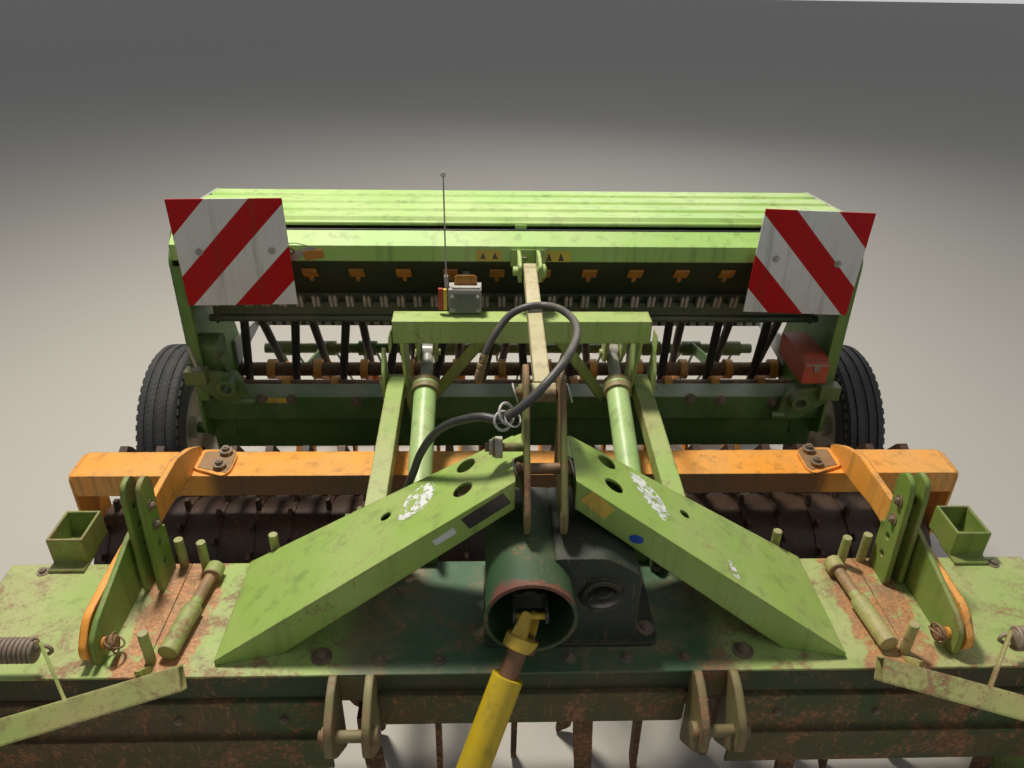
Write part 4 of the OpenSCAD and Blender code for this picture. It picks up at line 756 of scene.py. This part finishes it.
# Cardan shaft: a yellow painted joint fork, a splined steel tube brown with
# rust, and a sleeve of yellow plastic that turns on rings over the tube.
fork_paint = worn_paint("fork_yellow", (0.62, 0.42, 0.02), (0.48, 0.33, 0.06), 0.6, 0.42, 0.005, 0.2, 0.42)
tree, where, x, y, z = opened(fork_paint)
repaint(fork_paint, ramp(tree, z, 0.838, 0.832), (0.15, 0.065, 0.028))
finish(fork_paint, "pto_fork")
sleeve_yellow = worn_paint(
    "sleeve_yellow", (0.62, 0.42, 0.006), (0.66, 0.48, 0.03), 0.5, 0.10, 0.003, 0.22, 0.34, (0.30, 0.22, 0.09)
)
finish(sleeve_yellow, "pto_sleeve")

# Brackets of the roller arms, hinge tubes and posts: welded plate with rows
# of pin holes, dusty green with red rust where the paint has gone.
bracket_paint = worn_paint(
    "bracket_paint", (0.15, 0.25, 0.035), (0.33, 0.37, 0.11), 0.6, 0.50, 0.009, 0.35, 0.46
)
hinge_paint = worn_paint("hinge_paint", (0.30, 0.36, 0.11), (0.50, 0.40, 0.17), 0.75, 0.55, 0.006, 0.35, 0.5)
finish(bracket_paint, "arm_brackets", "receptacles")
tree, where, x, y, z = opened(hinge_paint)
bare_rod = times(tree, ramp(tree, y, -0.690, -0.684), ramp(tree, y, -0.592, -0.598))
repaint(hinge_paint, bare_rod, (0.33, 0.19, 0.09))
finish(hinge_paint, "deck_hinges")
pin_spots = []
for side in (-1, 1):
    for out, x in ((-1, 1011), (1, 1067)):
        pin_spots += [(at(side * x, -451, z), Vector((side * out, 0, 0))) for z in (880, 944)]
bolt("bracket_pins", "harrow", pin_spots, 0.017)
post_caps = bmesh.new()
for side in (-1, 1):
    for x, y in ((962, -737), (988, -401), (922, -413), (728, -383)):
        revolve(post_caps, at(side * x, y, 777.6), at(side * x, y, 779.4), ((0, 0.0128), (1, 0.0118)), 24)
post_tops = worn_paint("post_tops", (0.34, 0.35, 0.14), (0.46, 0.40, 0.2), 0.7, 0.5, 0.002, 0.4, 0.5)
smooth(close("post_ends", post_caps, post_tops, "harrow"))
arm_pins = bmesh.new()
for side in (-1, 1):
    revolve(
        arm_pins,
        at(side * 1060, -715, 722),
        at(side * 1044, -715, 722),
        ((0, 0.0205), (0.7, 0.0205), (1, 0.016)),
        24,
    )
    loop(arm_pins, at(side * 1051, -715, 724), (0.5, 0.3, 1), 0.024, 0.0026)
    loop(arm_pins, at(side * 1049, -716, 722), (1, 0.2, 0.1), 0.026, 0.0026)
smooth(close("arm_pins", arm_pins, pin_rust, "harrow"))

# Side arms and side plates: flat-sided tubes that fold outwards, held down on
# the soil by long tension springs of round wire with hooked rods.
arm_paint = worn_paint("arm_paint", (0.38, 0.46, 0.13), (0.52, 0.42, 0.17), 0.75, 0.62, 0.012, 0.4, 0.48)
finish(arm_paint, "side_arms")
spring_steel = worn_paint(
    "spring_steel", (0.22, 0.165, 0.125), (0.38, 0.30, 0.23), 0.6, 0.45, 0.001, 0.25, 0.45, relief=0.0005
)
wound, given = geometry_tree(
    "wound_springs", ("Turns", "Float"), ("Radius", "Float"), ("Wire", "Float"), ("Length", "Float")
)
helix = {"Resolution": 20, "Rotations": given["Turns"], "Height": given["Length"]}
helix |= {"Start Radius": given["Radius"], "End Radius": given["Radius"]}
spiral = lay(wound, "GeometryNodeCurveSpiral", helix).outputs[0]
section = lay(
    wound, "GeometryNodeCurvePrimitiveCircle", {"Resolution": 8, "Radius": given["Wire"]}
).outputs[0]
coil = lay(wound, "GeometryNodeCurveToMesh", {"Curve": spiral, "Profile Curve": section, "Fill Caps": True})
soft = lay(wound, "GeometryNodeSetShadeSmooth", {"Geometry": coil.outputs[0]})
stand_on_spots(wound, given, soft.outputs[0])
spring_sizes = {"Turns": 15.0, "Radius": 0.0262, "Wire": 0.0054, "Length": 0.172, "Finish": spring_steel}
coil_starts = [(at(side * 1206, -770, 761), Vector((side, 0, 0))) for side in (-1, 1)]
coils = grow("side_coils", wound, coil_starts, spring_sizes, "harrow")
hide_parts("side_springs")
hooks = bmesh.new()
for side in (-1, 1):
    bent = (1180, 748), (1170, 756), (1170, 768), (1180, 776), (1192, 772), (1200, 762)
    bent = [at(side * x, -770, z) for x, z in bent]
    sweep(hooks, smooth_way([*bent, at(side * 1210, -764, 761)], 4), 0.0052, 10)
    revolve(
        hooks,
        at(side * 1202, -770, 761),
        at(side * 1209, -770, 761),
        ((0, 0.012), (0.5, 0.022), (1, 0.024)),
        24,
    )
    revolve(
        hooks,
        at(side * 1376, -770, 761),
        at(side * 1383, -770, 761),
        ((0, 0.024), (0.5, 0.022), (1, 0.012)),
        24,
    )
    sweep(hooks, [at(side * 1382, -770, 761), at(side * 1486, -770, 761)], 0.0055, 12)
    revolve(hooks, at(side * 1474, -770, 761), at(side * 1482, -770, 761), ((0, 0.011), (1, 0.011)), 6)
smooth(close("spring_hooks", hooks, spring_steel, "harrow"))

# Toothed packer roller: a steel drum with welded rings of teeth and a scraper
# between each two rings, under an orange box beam with its end plates.
beam_paint = worn_paint(
    "beam_paint", (0.92, 0.36, 0.045), (0.90, 0.47, 0.12), 0.6, 0.38, 0.010, 0.25, 0.4, (0.36, 0.22, 0.12)
)
# The roller's rust is painted darker still, as painted shade under the beam
roller_rust_and_shade = worn_paint(
    "roller_rust_and_shade",
    (0.030, 0.013, 0.007),
    (0.060, 0.026, 0.013),
    0.8,
    0.40,
    0.004,
    0.2,
    0.5,
    (0.10, 0.055, 0.03),
    relief=0.002,
)
# Painted shade: its front face is painted darker between the arms
tree, where, x, y, z = opened(beam_paint)
surface = lay(tree, "ShaderNodeNewGeometry").outputs["Normal"]
facing = lay(tree, "ShaderNodeSeparateXYZ", {0: surface}).outputs["Y"]
front_face_shade = times(tree, ramp(tree, facing, -0.6, -0.9), ramp(tree, sums(tree, "ABSOLUTE", x), 1.07, 1.0))
repaint(beam_paint, front_face_shade, (0.24, 0.105, 0.035), (0.14, 0.09, 0.05))
finish(beam_paint, "roller_beam", "roller_ends", "roller_arms")
finish(roller_rust_and_shade, "packer_roller", "scrapers")
rings_n, ring_pitch = 24, 125.0
scraper_spots = [
    (at((k - rings_n / 2 + 1) * ring_pitch, 139.6, 660), Vector((0, 1, 0))) for k in range(rings_n - 1)
]
bolt("scraper_bolts", "harrow", scraper_spots, 0.015)
foot_plates = bmesh.new()
for side in (-1, 1):
    corners = (984, 4), (1084, 34), (1084, 124), (986, 130), (976, 108), (976, 24)
    slab(foot_plates, [at(side * x, y, 706.2) for x, y in corners], (0, 0, 0.002))
foot_rust = worn_paint(
    "foot_rust", (0.24, 0.115, 0.045), (0.36, 0.22, 0.11), 0.8, 0.6, 0.003, 0.35, 0.6, relief=0.002
)
close("beam_foot_plates", foot_plates, foot_rust, "harrow", 0.0007)
bolt(
    "beam_foot_bolts",
    "harrow",
    [(at(side * 1010, y, 719.8), sky_way) for side in (-1, 1) for y in (34, 112)],
    0.022,
)
bearing = bmesh.new()
for side in (-1, 1):
    revolve(
        bearing,
        at(side * 1499.6, 120, 250),
        at(side * 1487, 120, 250),
        ((0, 0.040), (0.3, 0.046), (1, 0.046)),
        32,
    )
bearing_paint = worn_paint("bearing_paint", (0.5, 0.2, 0.04), (0.4, 0.2, 0.1), 0.7, 0.5, 0.004, 0.4, 0.5)
smooth(close("bearing_covers", bearing, bearing_paint, "roller"))

# Lift: lower arms of square tube, two cylinders with chromed rods and rusty
# head collars, and the upper link, all on greased pins kept by spring clips.
lift_paint = worn_paint("lift_paint", (0.32, 0.45, 0.12), (0.46, 0.52, 0.22), 0.65, 0.46, 0.008, 0.35, 0.4)
dark_lift = worn_paint("dark_lift", (0.09, 0.19, 0.04), (0.20, 0.28, 0.09), 0.6, 0.35, 0.008, 0.35, 0.46)
finish(lift_paint, "lift_arms")
finish(dark_lift, "lift_brackets")
ram_paint = worn_paint("ram_paint", (0.36, 0.57, 0.19), (0.50, 0.68, 0.30), 0.6, 0.30, 0.004, 0.28, 0.34)
finish(ram_paint, "ram_barrels")
link_khaki = worn_paint("link_khaki", (0.44, 0.40, 0.21), (0.64, 0.55, 0.36), 0.75, 0.50, 0.008, 0.4, 0.5)
finish(link_khaki, "upper_link")
rod_chrome = worn_paint(
    "rod_chrome", (0.42, 0.41, 0.39), (0.30, 0.29, 0.27), 0.5, 0.12, 0.002, 0.15, 0.2, relief=0.0004
)
finish(rod_chrome, "ram_rods")
head_collars = bmesh.new()
ram_rise = math.radians(19.0645)
ram_way = Vector((0, math.cos(ram_rise), math.sin(ram_rise)))
collar = (0, 0.0380), (0.02, 0.0468), (0.45, 0.0472), (0.5, 0.0450), (0.6, 0.0450), (0.64, 0.0472)
for side in (-1, 1):
    foot = at(side * 325, -350, 750)
    revolve(
        head_collars,
        foot + ram_way * 0.530,
        foot + ram_way * 0.5797,
        (*collar, (0.96, 0.0468), (1, 0.0250)),
        36,
    )
collar_rust = worn_paint("collar_rust", (0.20, 0.17, 0.06), (0.34, 0.27, 0.13), 0.8, 0.55, 0.003, 0.35, 0.5)
smooth(close("ram_collars", head_collars, collar_rust, "rams"))
bolt(
    "bracket_bolts",
    "harrow",
    [(at(x, -434.2, z), (0, -1, 0)) for x in (-372, 372) for z in (694, 723)],
    0.019,
)
lift_clips = bmesh.new()
for side in (-1, 1):
    loop(lift_clips, at(side * 502, 370, 835), (1, 0.2, 0.3), 0.022, 0.0024)
    loop(lift_clips, at(side * 366, 330, 985), (1, 0.1, -0.3), 0.018, 0.0022)
smooth(close("lift_clips", lift_clips, steel_bright, "drill"))

# Drill frame: a square cross beam, side plates, castings for the marker arms
# and the drive's case, in the drill's darker green with rust at the edges.
frame_paint = worn_paint(
    "frame_paint", (0.050, 0.13, 0.025), (0.15, 0.23, 0.07), 0.6, 0.34, 0.008, 0.35, 0.42
)
finish(frame_paint, "drill_frame", "marker_sockets", "drive_box", "tine_harrow")
cheek_paint = worn_paint("cheek_paint", (0.085, 0.22, 0.03), (0.22, 0.33, 0.09), 0.5, 0.25, 0.008, 0.3, 0.4)
finish(cheek_paint, "drill_cheeks")
frame_pixels = (262, 398), (292, 399), (357, 401), (690, 398), (720, 400), (772, 402)
bolt("frame_bolts", "drill", seen_spots("drill_frame", *frame_pixels), 0.022)
cheek_places = (470, 640), (470, 745), (575, 640), (575, 745), (660, 1010), (470, 1180), (960, 1300)
cheek_spots = [(at(side * 1200.4, y, z), Vector((side, 0, 0))) for side in (-1, 1) for y, z in cheek_places]
bolt("cheek_bolts", "drill", cheek_spots, 0.019)
handle = bmesh.new()
sweep(handle, [at(-1166, 394, 880.4), at(-1170, 394, 905), at(-1179, 394, 962)], 0.0058, 12)
revolve(
    handle,
    at(-1166, 394, 880.3),
    at(-1166, 394, 889),
    ((0, 0.017), (0.4, 0.017), (0.45, 0.012), (1, 0.012)),
    20,
)
revolve(
    handle,
    at(-1178.6, 394, 958),
    at(-1181, 394, 972),
    ((0, 0.006), (0.3, 0.0078), (0.8, 0.0078), (1, 0.004)),
    14,
)
smooth(close("pin_handle", handle, steel_bright, "drill"))

# Lift portal: a square tube over the lift arms with its side plates, braces
# and lugs; the lightest paint of the lift, rubbed through at its corners.
portal_paint = worn_paint(
    "portal_paint", (0.36, 0.50, 0.14), (0.50, 0.60, 0.26), 0.55, 0.36, 0.008, 0.25, 0.4
)
finish(portal_paint, "lift_portal")
end_plates = bmesh.new()
for side in (-1, 1):
    corners = (124, 1089), (178, 1089), (186, 1097), (186, 1143), (178, 1151), (124, 1151), (116, 1143)
    slab(end_plates, [at(side * 429.6, y, z) for y, z in (*corners, (116, 1097))], (side * 0.0024, 0, 0))
close("portal_ends", end_plates, portal_paint, "drill", 0.0006)

# Hopper: sheet metal folded at its rim, the sloping wall behind it in shade
# with its orange shutters, blank yellow labels and a small tin latch.
hopper_paint = worn_paint(
    "hopper_paint", (0.34, 0.55, 0.14), (0.50, 0.68, 0.27), 0.5, 0.15, 0.004, 0.15, 0.48
)
tree, where, x, y, z = opened(hopper_paint)
# Painted shade: the sloping wall below the rim is painted dark
wall_painted_shade = times(tree, ramp(tree, z, 1.288, 1.282), ramp(tree, y, 0.66, 0.64))
repaint(hopper_paint, wall_painted_shade, (0.016, 0.028, 0.012), (0.035, 0.04, 0.022))
finish(hopper_paint, "hopper")
shutter_orange = worn_paint(
    "shutter_orange", (0.50, 0.19, 0.02), (0.30, 0.14, 0.03), 0.6, 0.15, 0.003, 0.3, 0.42
)
down_wall = Vector((0, 170, -195)).normalized()
off_wall = Vector((0, -195, -170)).normalized()
shutters = bmesh.new()
shutters_n, shutter_pitch = 14, 164.0
for k in range(shutters_n):
    middle = at((k - (shutters_n - 1) / 2) * shutter_pitch, 484, 1223) + off_wall * 0.001
    for top, top_half, low, low_half, thick in (
        (-0.03, 0.026, 0.02, 0.026, 0.009), (0.02, 0.008, 0.046, 0.006, 0.014)
    ):
        corners = (-top_half, top), (top_half, top), (low_half, low), (-low_half, low)
        slab(
            shutters, [middle + Vector((x, 0, 0)) + down_wall * drop for x, drop in corners], off_wall * thick
        )
close("shutters", shutters, shutter_orange, "drill", 0.0015)
film(
    "label_hopper_left",
    [(476, 250), (502, 250), (502, 261), (476, 261)],
    "hopper",
    "drill",
    label_yellow,
)
stick(
    "label_hopper_right", "hopper", (555, 256.3), (565, 256.5), 0.108, 0.040, "drill", label_yellow
)
marks = (480, 252, 486, 259), (492, 252, 498, 259), (546, 253, 552, 261), (558, 253, 564, 261)
for number, (left_px, top_px, right_px, low_px) in enumerate(marks, 1):
    corners = [((left_px + right_px) / 2, top_px), (right_px, low_px), (left_px, low_px)]
    film(f"label_mark_{number}", corners, "hopper", "drill", plate_black, 0.0008)
film(
    "label_beam",
    [(263, 397.5), (287, 398), (287, 403), (263, 402.5)],
    "drill_frame",
    "drill",
    label_yellow,
)
tin = worn_paint("tin_plate", (0.34, 0.33, 0.30), (0.30, 0.22, 0.15), 0.6, 0.42, 0.003, 0.3, 0.4)
lever = (282, 248), (287, 243), (296, 242.5), (306, 245), (316, 247.5), (317, 252), (306, 254), (298, 259)
film("lever_plate", (*lever, (290, 261.5), (284, 258)), "hopper", "drill", tin, 0.004)
film(
    "lever_tongue",
    [(303, 251), (322, 249), (324, 257), (306, 260)],
    "hopper",
    "drill",
    shutter_orange,
    0.006,
)
bolt("hopper_bolts", "drill", seen_spots("hopper", (291, 252)), 0.014)
place, normal = seen_at("hopper", 523, 256)
latch = bmesh.new()
plate = (-0.017, -0.016), (0.017, -0.016), (0.017, 0.012), (0.009, 0.018), (-0.009, 0.018), (-0.017, 0.012)
slab(latch, [place + Vector((x, 0, z)) for x, z in plate], normal * 0.004)
bow = (-0.011, -0.012, 0.004), (-0.011, -0.002, 0.013), (0.011, -0.002, 0.013), (0.011, -0.012, 0.004)
sweep(latch, smooth_way([place + Vector((x, 0, z)) + normal * off for x, z, off in bow]), 0.003, 8)
close("latch", latch, tin, "drill", 0.0008)
# A black rubber seal along the lid's front edge, which also stands as painted shade for the gap under the lid
seal_and_gap_shade = bmesh.new()
sweep(seal_and_gap_shade, [at(-1182, 498.5, 1372.5), at(1182, 498.5, 1372.5)], 0.0045, 10)
smooth(close("lid_seal_and_gap_shade", seal_and_gap_shade, black_plastic, "drill"))

# Metering: grey housings in a row under the hopper, each with a pale cap over
# its feed wheel, on a turning shaft above the rail of the seed tubes.
housing_paint = worn_paint(
    "housing_paint", (0.045, 0.075, 0.035), (0.12, 0.13, 0.09), 0.6, 0.1, 0.003, 0.4, 0.5
)
finish(housing_paint, "metering")
cap_pale = worn_paint("cap_pale", (0.52, 0.45, 0.42), (0.36, 0.31, 0.27), 0.6, 0.05, 0.001, 0.35, 0.45)
caps, given = geometry_tree("feed_caps", ("Radius", "Float"), ("Height", "Float"), ("Seed", "Int"))
wide, tall = given["Radius"], given["Height"]
drum = lay(caps, "GeometryNodeMeshCylinder", {"Vertices": 14, "Radius": wide, "Depth": tall})
crown_sizes = {
    "Vertices": 14,
    "Radius Top": times(caps, wide, 0.6),
    "Radius Bottom": wide,
    "Depth": times(caps, tall, 0.35),
}
crown = lay(caps, "GeometryNodeMeshCone", crown_sizes).outputs["Mesh"]
up_shift = lay(caps, "ShaderNodeCombineXYZ", {"Z": times(caps, tall, 0.5)}).outputs[0]
crown = lay(caps, "GeometryNodeTransform", {"Geometry": crown, "Translation": up_shift})
whole = caps.nodes.new("GeometryNodeJoinGeometry")
caps.links.new(drum.outputs["Mesh"], whole.inputs[0])
caps.links.new(crown.outputs[0], whole.inputs[0])
swell = lay(caps, "FunctionNodeRandomValue", {2: 0.9, 3: 1.08, "Seed": given["Seed"]}).outputs[1]
stand_on_spots(caps, given, whole.outputs[0], scale=swell)
feeds_n, feed_pitch = 37, 62.5
feed_x = [(k - (feeds_n - 1) / 2) * feed_pitch + beside for k in range(feeds_n) for beside in (-8, 8)]
cap_values = {"Radius": 0.0068, "Height": 0.036, "Finish": cap_pale, "Seed": 7}
cap_spots = [(at(x, 567, 1068), Vector((0, -0.3, 1))) for x in feed_x]
grow("feed_caps", caps, cap_spots, cap_values, "drill")

# Seed tubes, coulters and bars: ribbed black tubes down to coulter arms that
# were painted orange and are scoured by the soil on rusty round bars.
tube_black = worn_paint("tube_black", (0.012, 0.012, 0.012), (0.045, 0.042, 0.036), 0.6, 0.0, 0.001, 0.3, 0.5)
finish(tube_black, "seed_tubes")
bar_rust = worn_paint("bar_rust", (0.10, 0.05, 0.03), (0.16, 0.08, 0.045), 0.8, 0.7, 0.004, 0.3, 0.65)
finish(bar_rust, "coulter_bars")
coulter_orange = worn_paint(
    "coulter_orange", (0.88, 0.33, 0.04), (0.70, 0.38, 0.14), 0.6, 0.42, 0.005, 0.3, 0.45
)
finish(coulter_orange, "coulters")

# Loading step: a galvanised channel with punched holes that grip the boot. The
# holes are drawn dark in the zinc as painted shade, as the channel is thin and only shade shows below.
step_zinc = worn_paint("step_zinc", (0.36, 0.37, 0.37), (0.45, 0.45, 0.43), 0.6, 0.2, 0.004, 0.35, 0.45)
tree, where, x, y, z = opened(step_zinc)
hole_pitch, hole_radius = 0.045, 0.0085
offsets = []
for way in (x, y):
    step = sums(tree, "ABSOLUTE", sums(tree, "MODULO", way, hole_pitch))
    offsets.append(sums(tree, "SUBTRACT", step, hole_pitch / 2))
far = sums(
    tree, "SQRT", sums(tree, "ADD", times(tree, offsets[0], offsets[0]), times(tree, offsets[1], offsets[1]))
)
# Painted shade: the holes are painted near black
repaint(step_zinc, ramp(tree, far, hole_radius + 0.001, hole_radius), (0.02, 0.02, 0.02))
finish(step_zinc, "loading_step")

# Warning boards: sheet metal with red and white stripes at 45 degrees that
# fall outwards, faded and scratched, on flat brackets.
board_side, band_pitch = 0.375, 0.715


def striped(name, turn, corner, mirror):
    """White sheet with three red bands, measured from the board's lower inner corner."""
    made = worn_paint(name, (0.80, 0.80, 0.80), (0.70, 0.69, 0.67), 0.5, 0.10, 0.002, 0.10, 0.55)
    tree, where, x, y, z = opened(made)
    tree.nodes["Principled BSDF"].inputs["Specular IOR Level"].default_value = 0.2
    placing = {"Vector": where, "Location": corner, "Rotation": (0, turn, 0)}
    local = lay(tree, "ShaderNodeMapping", placing, vector_type="TEXTURE").outputs[0]
    split = lay(tree, "ShaderNodeSeparateXYZ", {0: local}).outputs
    across, up = times(tree, split["X"], -mirror / board_side), times(tree, split["Z"], 1.0 / board_side)
    along = sums(tree, "SUBTRACT", 1.0 if mirror > 0 else 2.0, sums(tree, "ADD", across, up))
    band = sums(tree, "FRACT", sums(tree, "DIVIDE", along, band_pitch))
    red = times(tree, ramp(tree, band, 0.47, 0.462), ramp(tree, band, -0.004, 0.004))
    repaint(made, red, (0.52, 0.004, 0.008), (0.46, 0.012, 0.018))
    return made


boards = node["warning_boards"]
boards.data.materials.clear()
boards.data.materials.append(striped("board_left", math.radians(-1), at(-1150, 400, 1130), 1))
boards.data.materials.append(striped("board_right", math.radians(2), at(795, 400, 1112), -1))
boards.data.materials.append(frame_paint)
for face in boards.data.polygons:
    middle = face.center
    behind = middle.y > at(0, 404.2, 0).y
    face.material_index = 2 if behind else (0 if middle.x < 0 else 1)
board_spots = seen_spots("warning_boards", (199, 252), (272, 251), (776, 259), (838, 264))
bolt("board_bolts", "drill", board_spots, 0.013, steel_bright)

# Tool box and switch box: a dull red sheet box with its lid and clasp, and a
# grey box with a rusty lever plate, indicators and a thin upright rod.
box_red = worn_paint("box_red", (0.50, 0.055, 0.025), (0.48, 0.11, 0.06), 0.55, 0.15, 0.005, 0.22, 0.42)
finish(box_red, "tool_box")
box_lid = bmesh.new()
sweep(box_lid, [at(1063, 388.5, 897), at(1150, 388.5, 897)], 0.0028, 8)
slab(
    box_lid,
    [at(x, 389.6, z) for x, z in ((1096, 868), (1116, 868), (1116, 902), (1096, 902))],
    (0, -0.004, 0),
)
loop(box_lid, at(1106, 383, 874), (0, 0.6, 1), 0.009, 0.0018)
close("box_clasp", box_lid, tin, "drill")
grey_case = worn_paint("grey_case", (0.40, 0.39, 0.37), (0.50, 0.48, 0.44), 0.6, 0.12, 0.003, 0.35, 0.45)
finish(grey_case, "control_box")
switch = bmesh.new()
slab(
    switch,
    [at(x, 265.6, z) for x, z in ((-240, 1172), (-140, 1172), (-140, 1236), (-240, 1236))],
    (0, -0.0025, 0),
)
face_grey = worn_paint("face_grey", (0.16, 0.16, 0.155), (0.26, 0.25, 0.24), 0.6, 0.15, 0.002, 0.35, 0.45)
close("switch_face", switch, face_grey, "drill", 0.001)
screw_spots = [(at(x, 263, z), Vector((0, -1, 0))) for x in (-232, -148) for z in (1180, 1228)]
bolt("switch_screws", "drill", screw_spots, 0.008, steel_bright)
bar = bmesh.new()
slab(bar, [at(x, y, 1251) for x, y in ((-232, 272), (-140, 272), (-140, 292), (-232, 292))], (0, 0, 0.006))
close("switch_bar", bar, steel_bright, "drill", 0.001)
slat = bmesh.new()
slat_side = (-226, 1250), (-150, 1250), (-150, 1282), (-160, 1290), (-216, 1290), (-226, 1282)
slab(slat, [at(x, 296, z) for x, z in slat_side], (0, 0.004, 0))
close("switch_slat", slat, shutter_orange, "drill", 0.0008)
gauge = bmesh.new()
slab(
    gauge, [at(x, 270, z) for x, z in ((-278, 1176), (-262, 1176), (-262, 1252), (-278, 1252))], (0, 0.012, 0)
)
gauge_red = worn_paint("gauge_red", (0.42, 0.03, 0.02), (0.5, 0.2, 0.05), 0.5, 0.2, 0.002, 0.3, 0.4)
close("gauge_red", gauge, gauge_red, "drill", 0.001)
gauge = bmesh.new()
slab(
    gauge, [at(x, 269, z) for x, z in ((-261, 1176), (-250, 1176), (-250, 1250), (-261, 1250))], (0, 0.012, 0)
)
close("gauge_yellow", gauge, label_yellow, "drill", 0.001)
rod_coil = bmesh.new()
loop(rod_coil, at(-252, 300, 1262), (0, 0, 1), 0.0055, 0.0016, 7.0, 0.026)
loop(rod_coil, at(-252, 300, 1620), (0, 1, 0.2), 0.007, 0.0018)
smooth(close("rod_coil", rod_coil, steel_bright, "drill"))

# Lid: one long pressed sheet with stiffening ribs, its sunny top bleached,
# between two moulded grey end caps that are screwed on.
lid_paint = worn_paint("lid_paint", (0.34, 0.52, 0.14), (0.50, 0.66, 0.26), 0.6, 0.06, 0.003, 0.15, 0.42)
finish(lid_paint, "lid")
lid_grey = worn_paint("lid_grey", (0.34, 0.37, 0.33), (0.44, 0.45, 0.40), 0.6, 0.08, 0.002, 0.35, 0.5)
finish(lid_grey, "lid_ends")
lid_drop = 0.1
lid_spots = []
for side in (-1, 1):
    lid_spots += [
        (at(side * 1192.2, y, 1380 - (y - 508) * lid_drop), Vector((side, 0, 0))) for y in (560, 760, 960)
    ]
bolt("lid_screws", "lid", lid_spots, 0.010, steel_bright)

# Wheels: cross-ply tyres of black rubber with blocks on the shoulder, grey
# with field dust, on rims pressed from steel and painted cream.
wheel_x, wheel_y, wheel_z = 1417.5, 787, 365
tread_radius = 0.365


def tyre_rubber(name, x):
    """Rubber with zigzag cuts in the tread, measured from the wheel's centre."""
    rubber, dry = (0.020, 0.021, 0.026), (0.036, 0.037, 0.042)
    made = worn_paint(name, rubber, dry, 0.7, 0.0, 0.002, 0.16, 0.62, (0.13, 0.115, 0.09))
    tree, where = opened(made)[:2]
    placing = {"Vector": where, "Location": at(x, wheel_y, wheel_z)}
    local = lay(tree, "ShaderNodeMapping", placing, vector_type="TEXTURE").outputs[0]
    split = lay(tree, "ShaderNodeSeparateXYZ", {0: local}).outputs
    round_way = times(tree, sums(tree, "ARCTAN2", split["Z"], split["Y"]), tread_radius)
    wave = times(tree, sums(tree, "PINGPONG", round_way, 0.014), 0.45)
    cut = sums(tree, "PINGPONG", sums(tree, "ADD", split["X"], wave), 0.0165)
    cross = sums(tree, "PINGPONG", sums(tree, "ADD", round_way, times(tree, split["X"], 0.4)), 0.012)
    cut = sums(tree, "MINIMUM", cut, sums(tree, "ADD", cross, 0.0012))
    outward = lay(
        tree, "ShaderNodeVectorMath", {0: local, 1: (0.0, 1.0, 1.0)}, operation="MULTIPLY"
    ).outputs[0]
    radius = lay(tree, "ShaderNodeVectorMath", {0: outward}, operation="LENGTH").outputs["Value"]
    on_tread = ramp(tree, radius, 0.352, 0.356)
    groove = times(tree, ramp(tree, cut, 0.0034, 0.0020), on_tread)
    side_rings = ramp(tree, sums(tree, "PINGPONG", radius, 0.012), 0.0015, 0.0005)
    side_rings = times(tree, side_rings, sums(tree, "SUBTRACT", 1.0, on_tread))
    depth = sums(tree, "ADD", groove, times(tree, side_rings, 0.5))
    # Painted shade: the cuts in the tread are painted darker than the rubber
    repaint(made, groove, (0.006, 0.006, 0.006))
    height = sums(tree, "SUBTRACT", tree.nodes["wear"].outputs["Height"], times(tree, depth, 2.0))
    tree.links.new(height, tree.nodes["Bump"].inputs["Height"])
    return made


lugs, given = geometry_tree("tread_lugs", ("Size", "Vector"))
stand_on_spots(lugs, given, lay(lugs, "GeometryNodeMeshCube", {"Size": given["Size"]}).outputs["Mesh"])
lugs_n, lug_x, lug_radius = 54, 73.0, 0.3395
for side, body in ((-1, "wheel_left"), (1, "wheel_right")):
    tyre, rim = body.replace("wheel", "tyre"), body.replace("wheel", "rim")
    rubber = tyre_rubber(f"{tyre}_rubber", side * wheel_x)
    finish(rubber, tyre)
    spots = []
    for edge_side, shift in ((-1, 0.0), (1, 0.5)):
        for k in range(lugs_n):
            a = (k + shift) * math.tau / lugs_n
            out = Vector((0, math.cos(a), math.sin(a)))
            spots.append((at(side * wheel_x + edge_side * lug_x, wheel_y, wheel_z) + out * lug_radius, out))
    grow(f"{tyre}_lugs", lugs, spots, {"Size": (0.0150, 0.024, 0.020), "Finish": rubber}, body)
    cream = worn_paint(f"{rim}_cream", (0.60, 0.57, 0.48), (0.46, 0.42, 0.34), 0.6, 0.3, 0.004, 0.35, 0.45)
    finish(cream, rim)
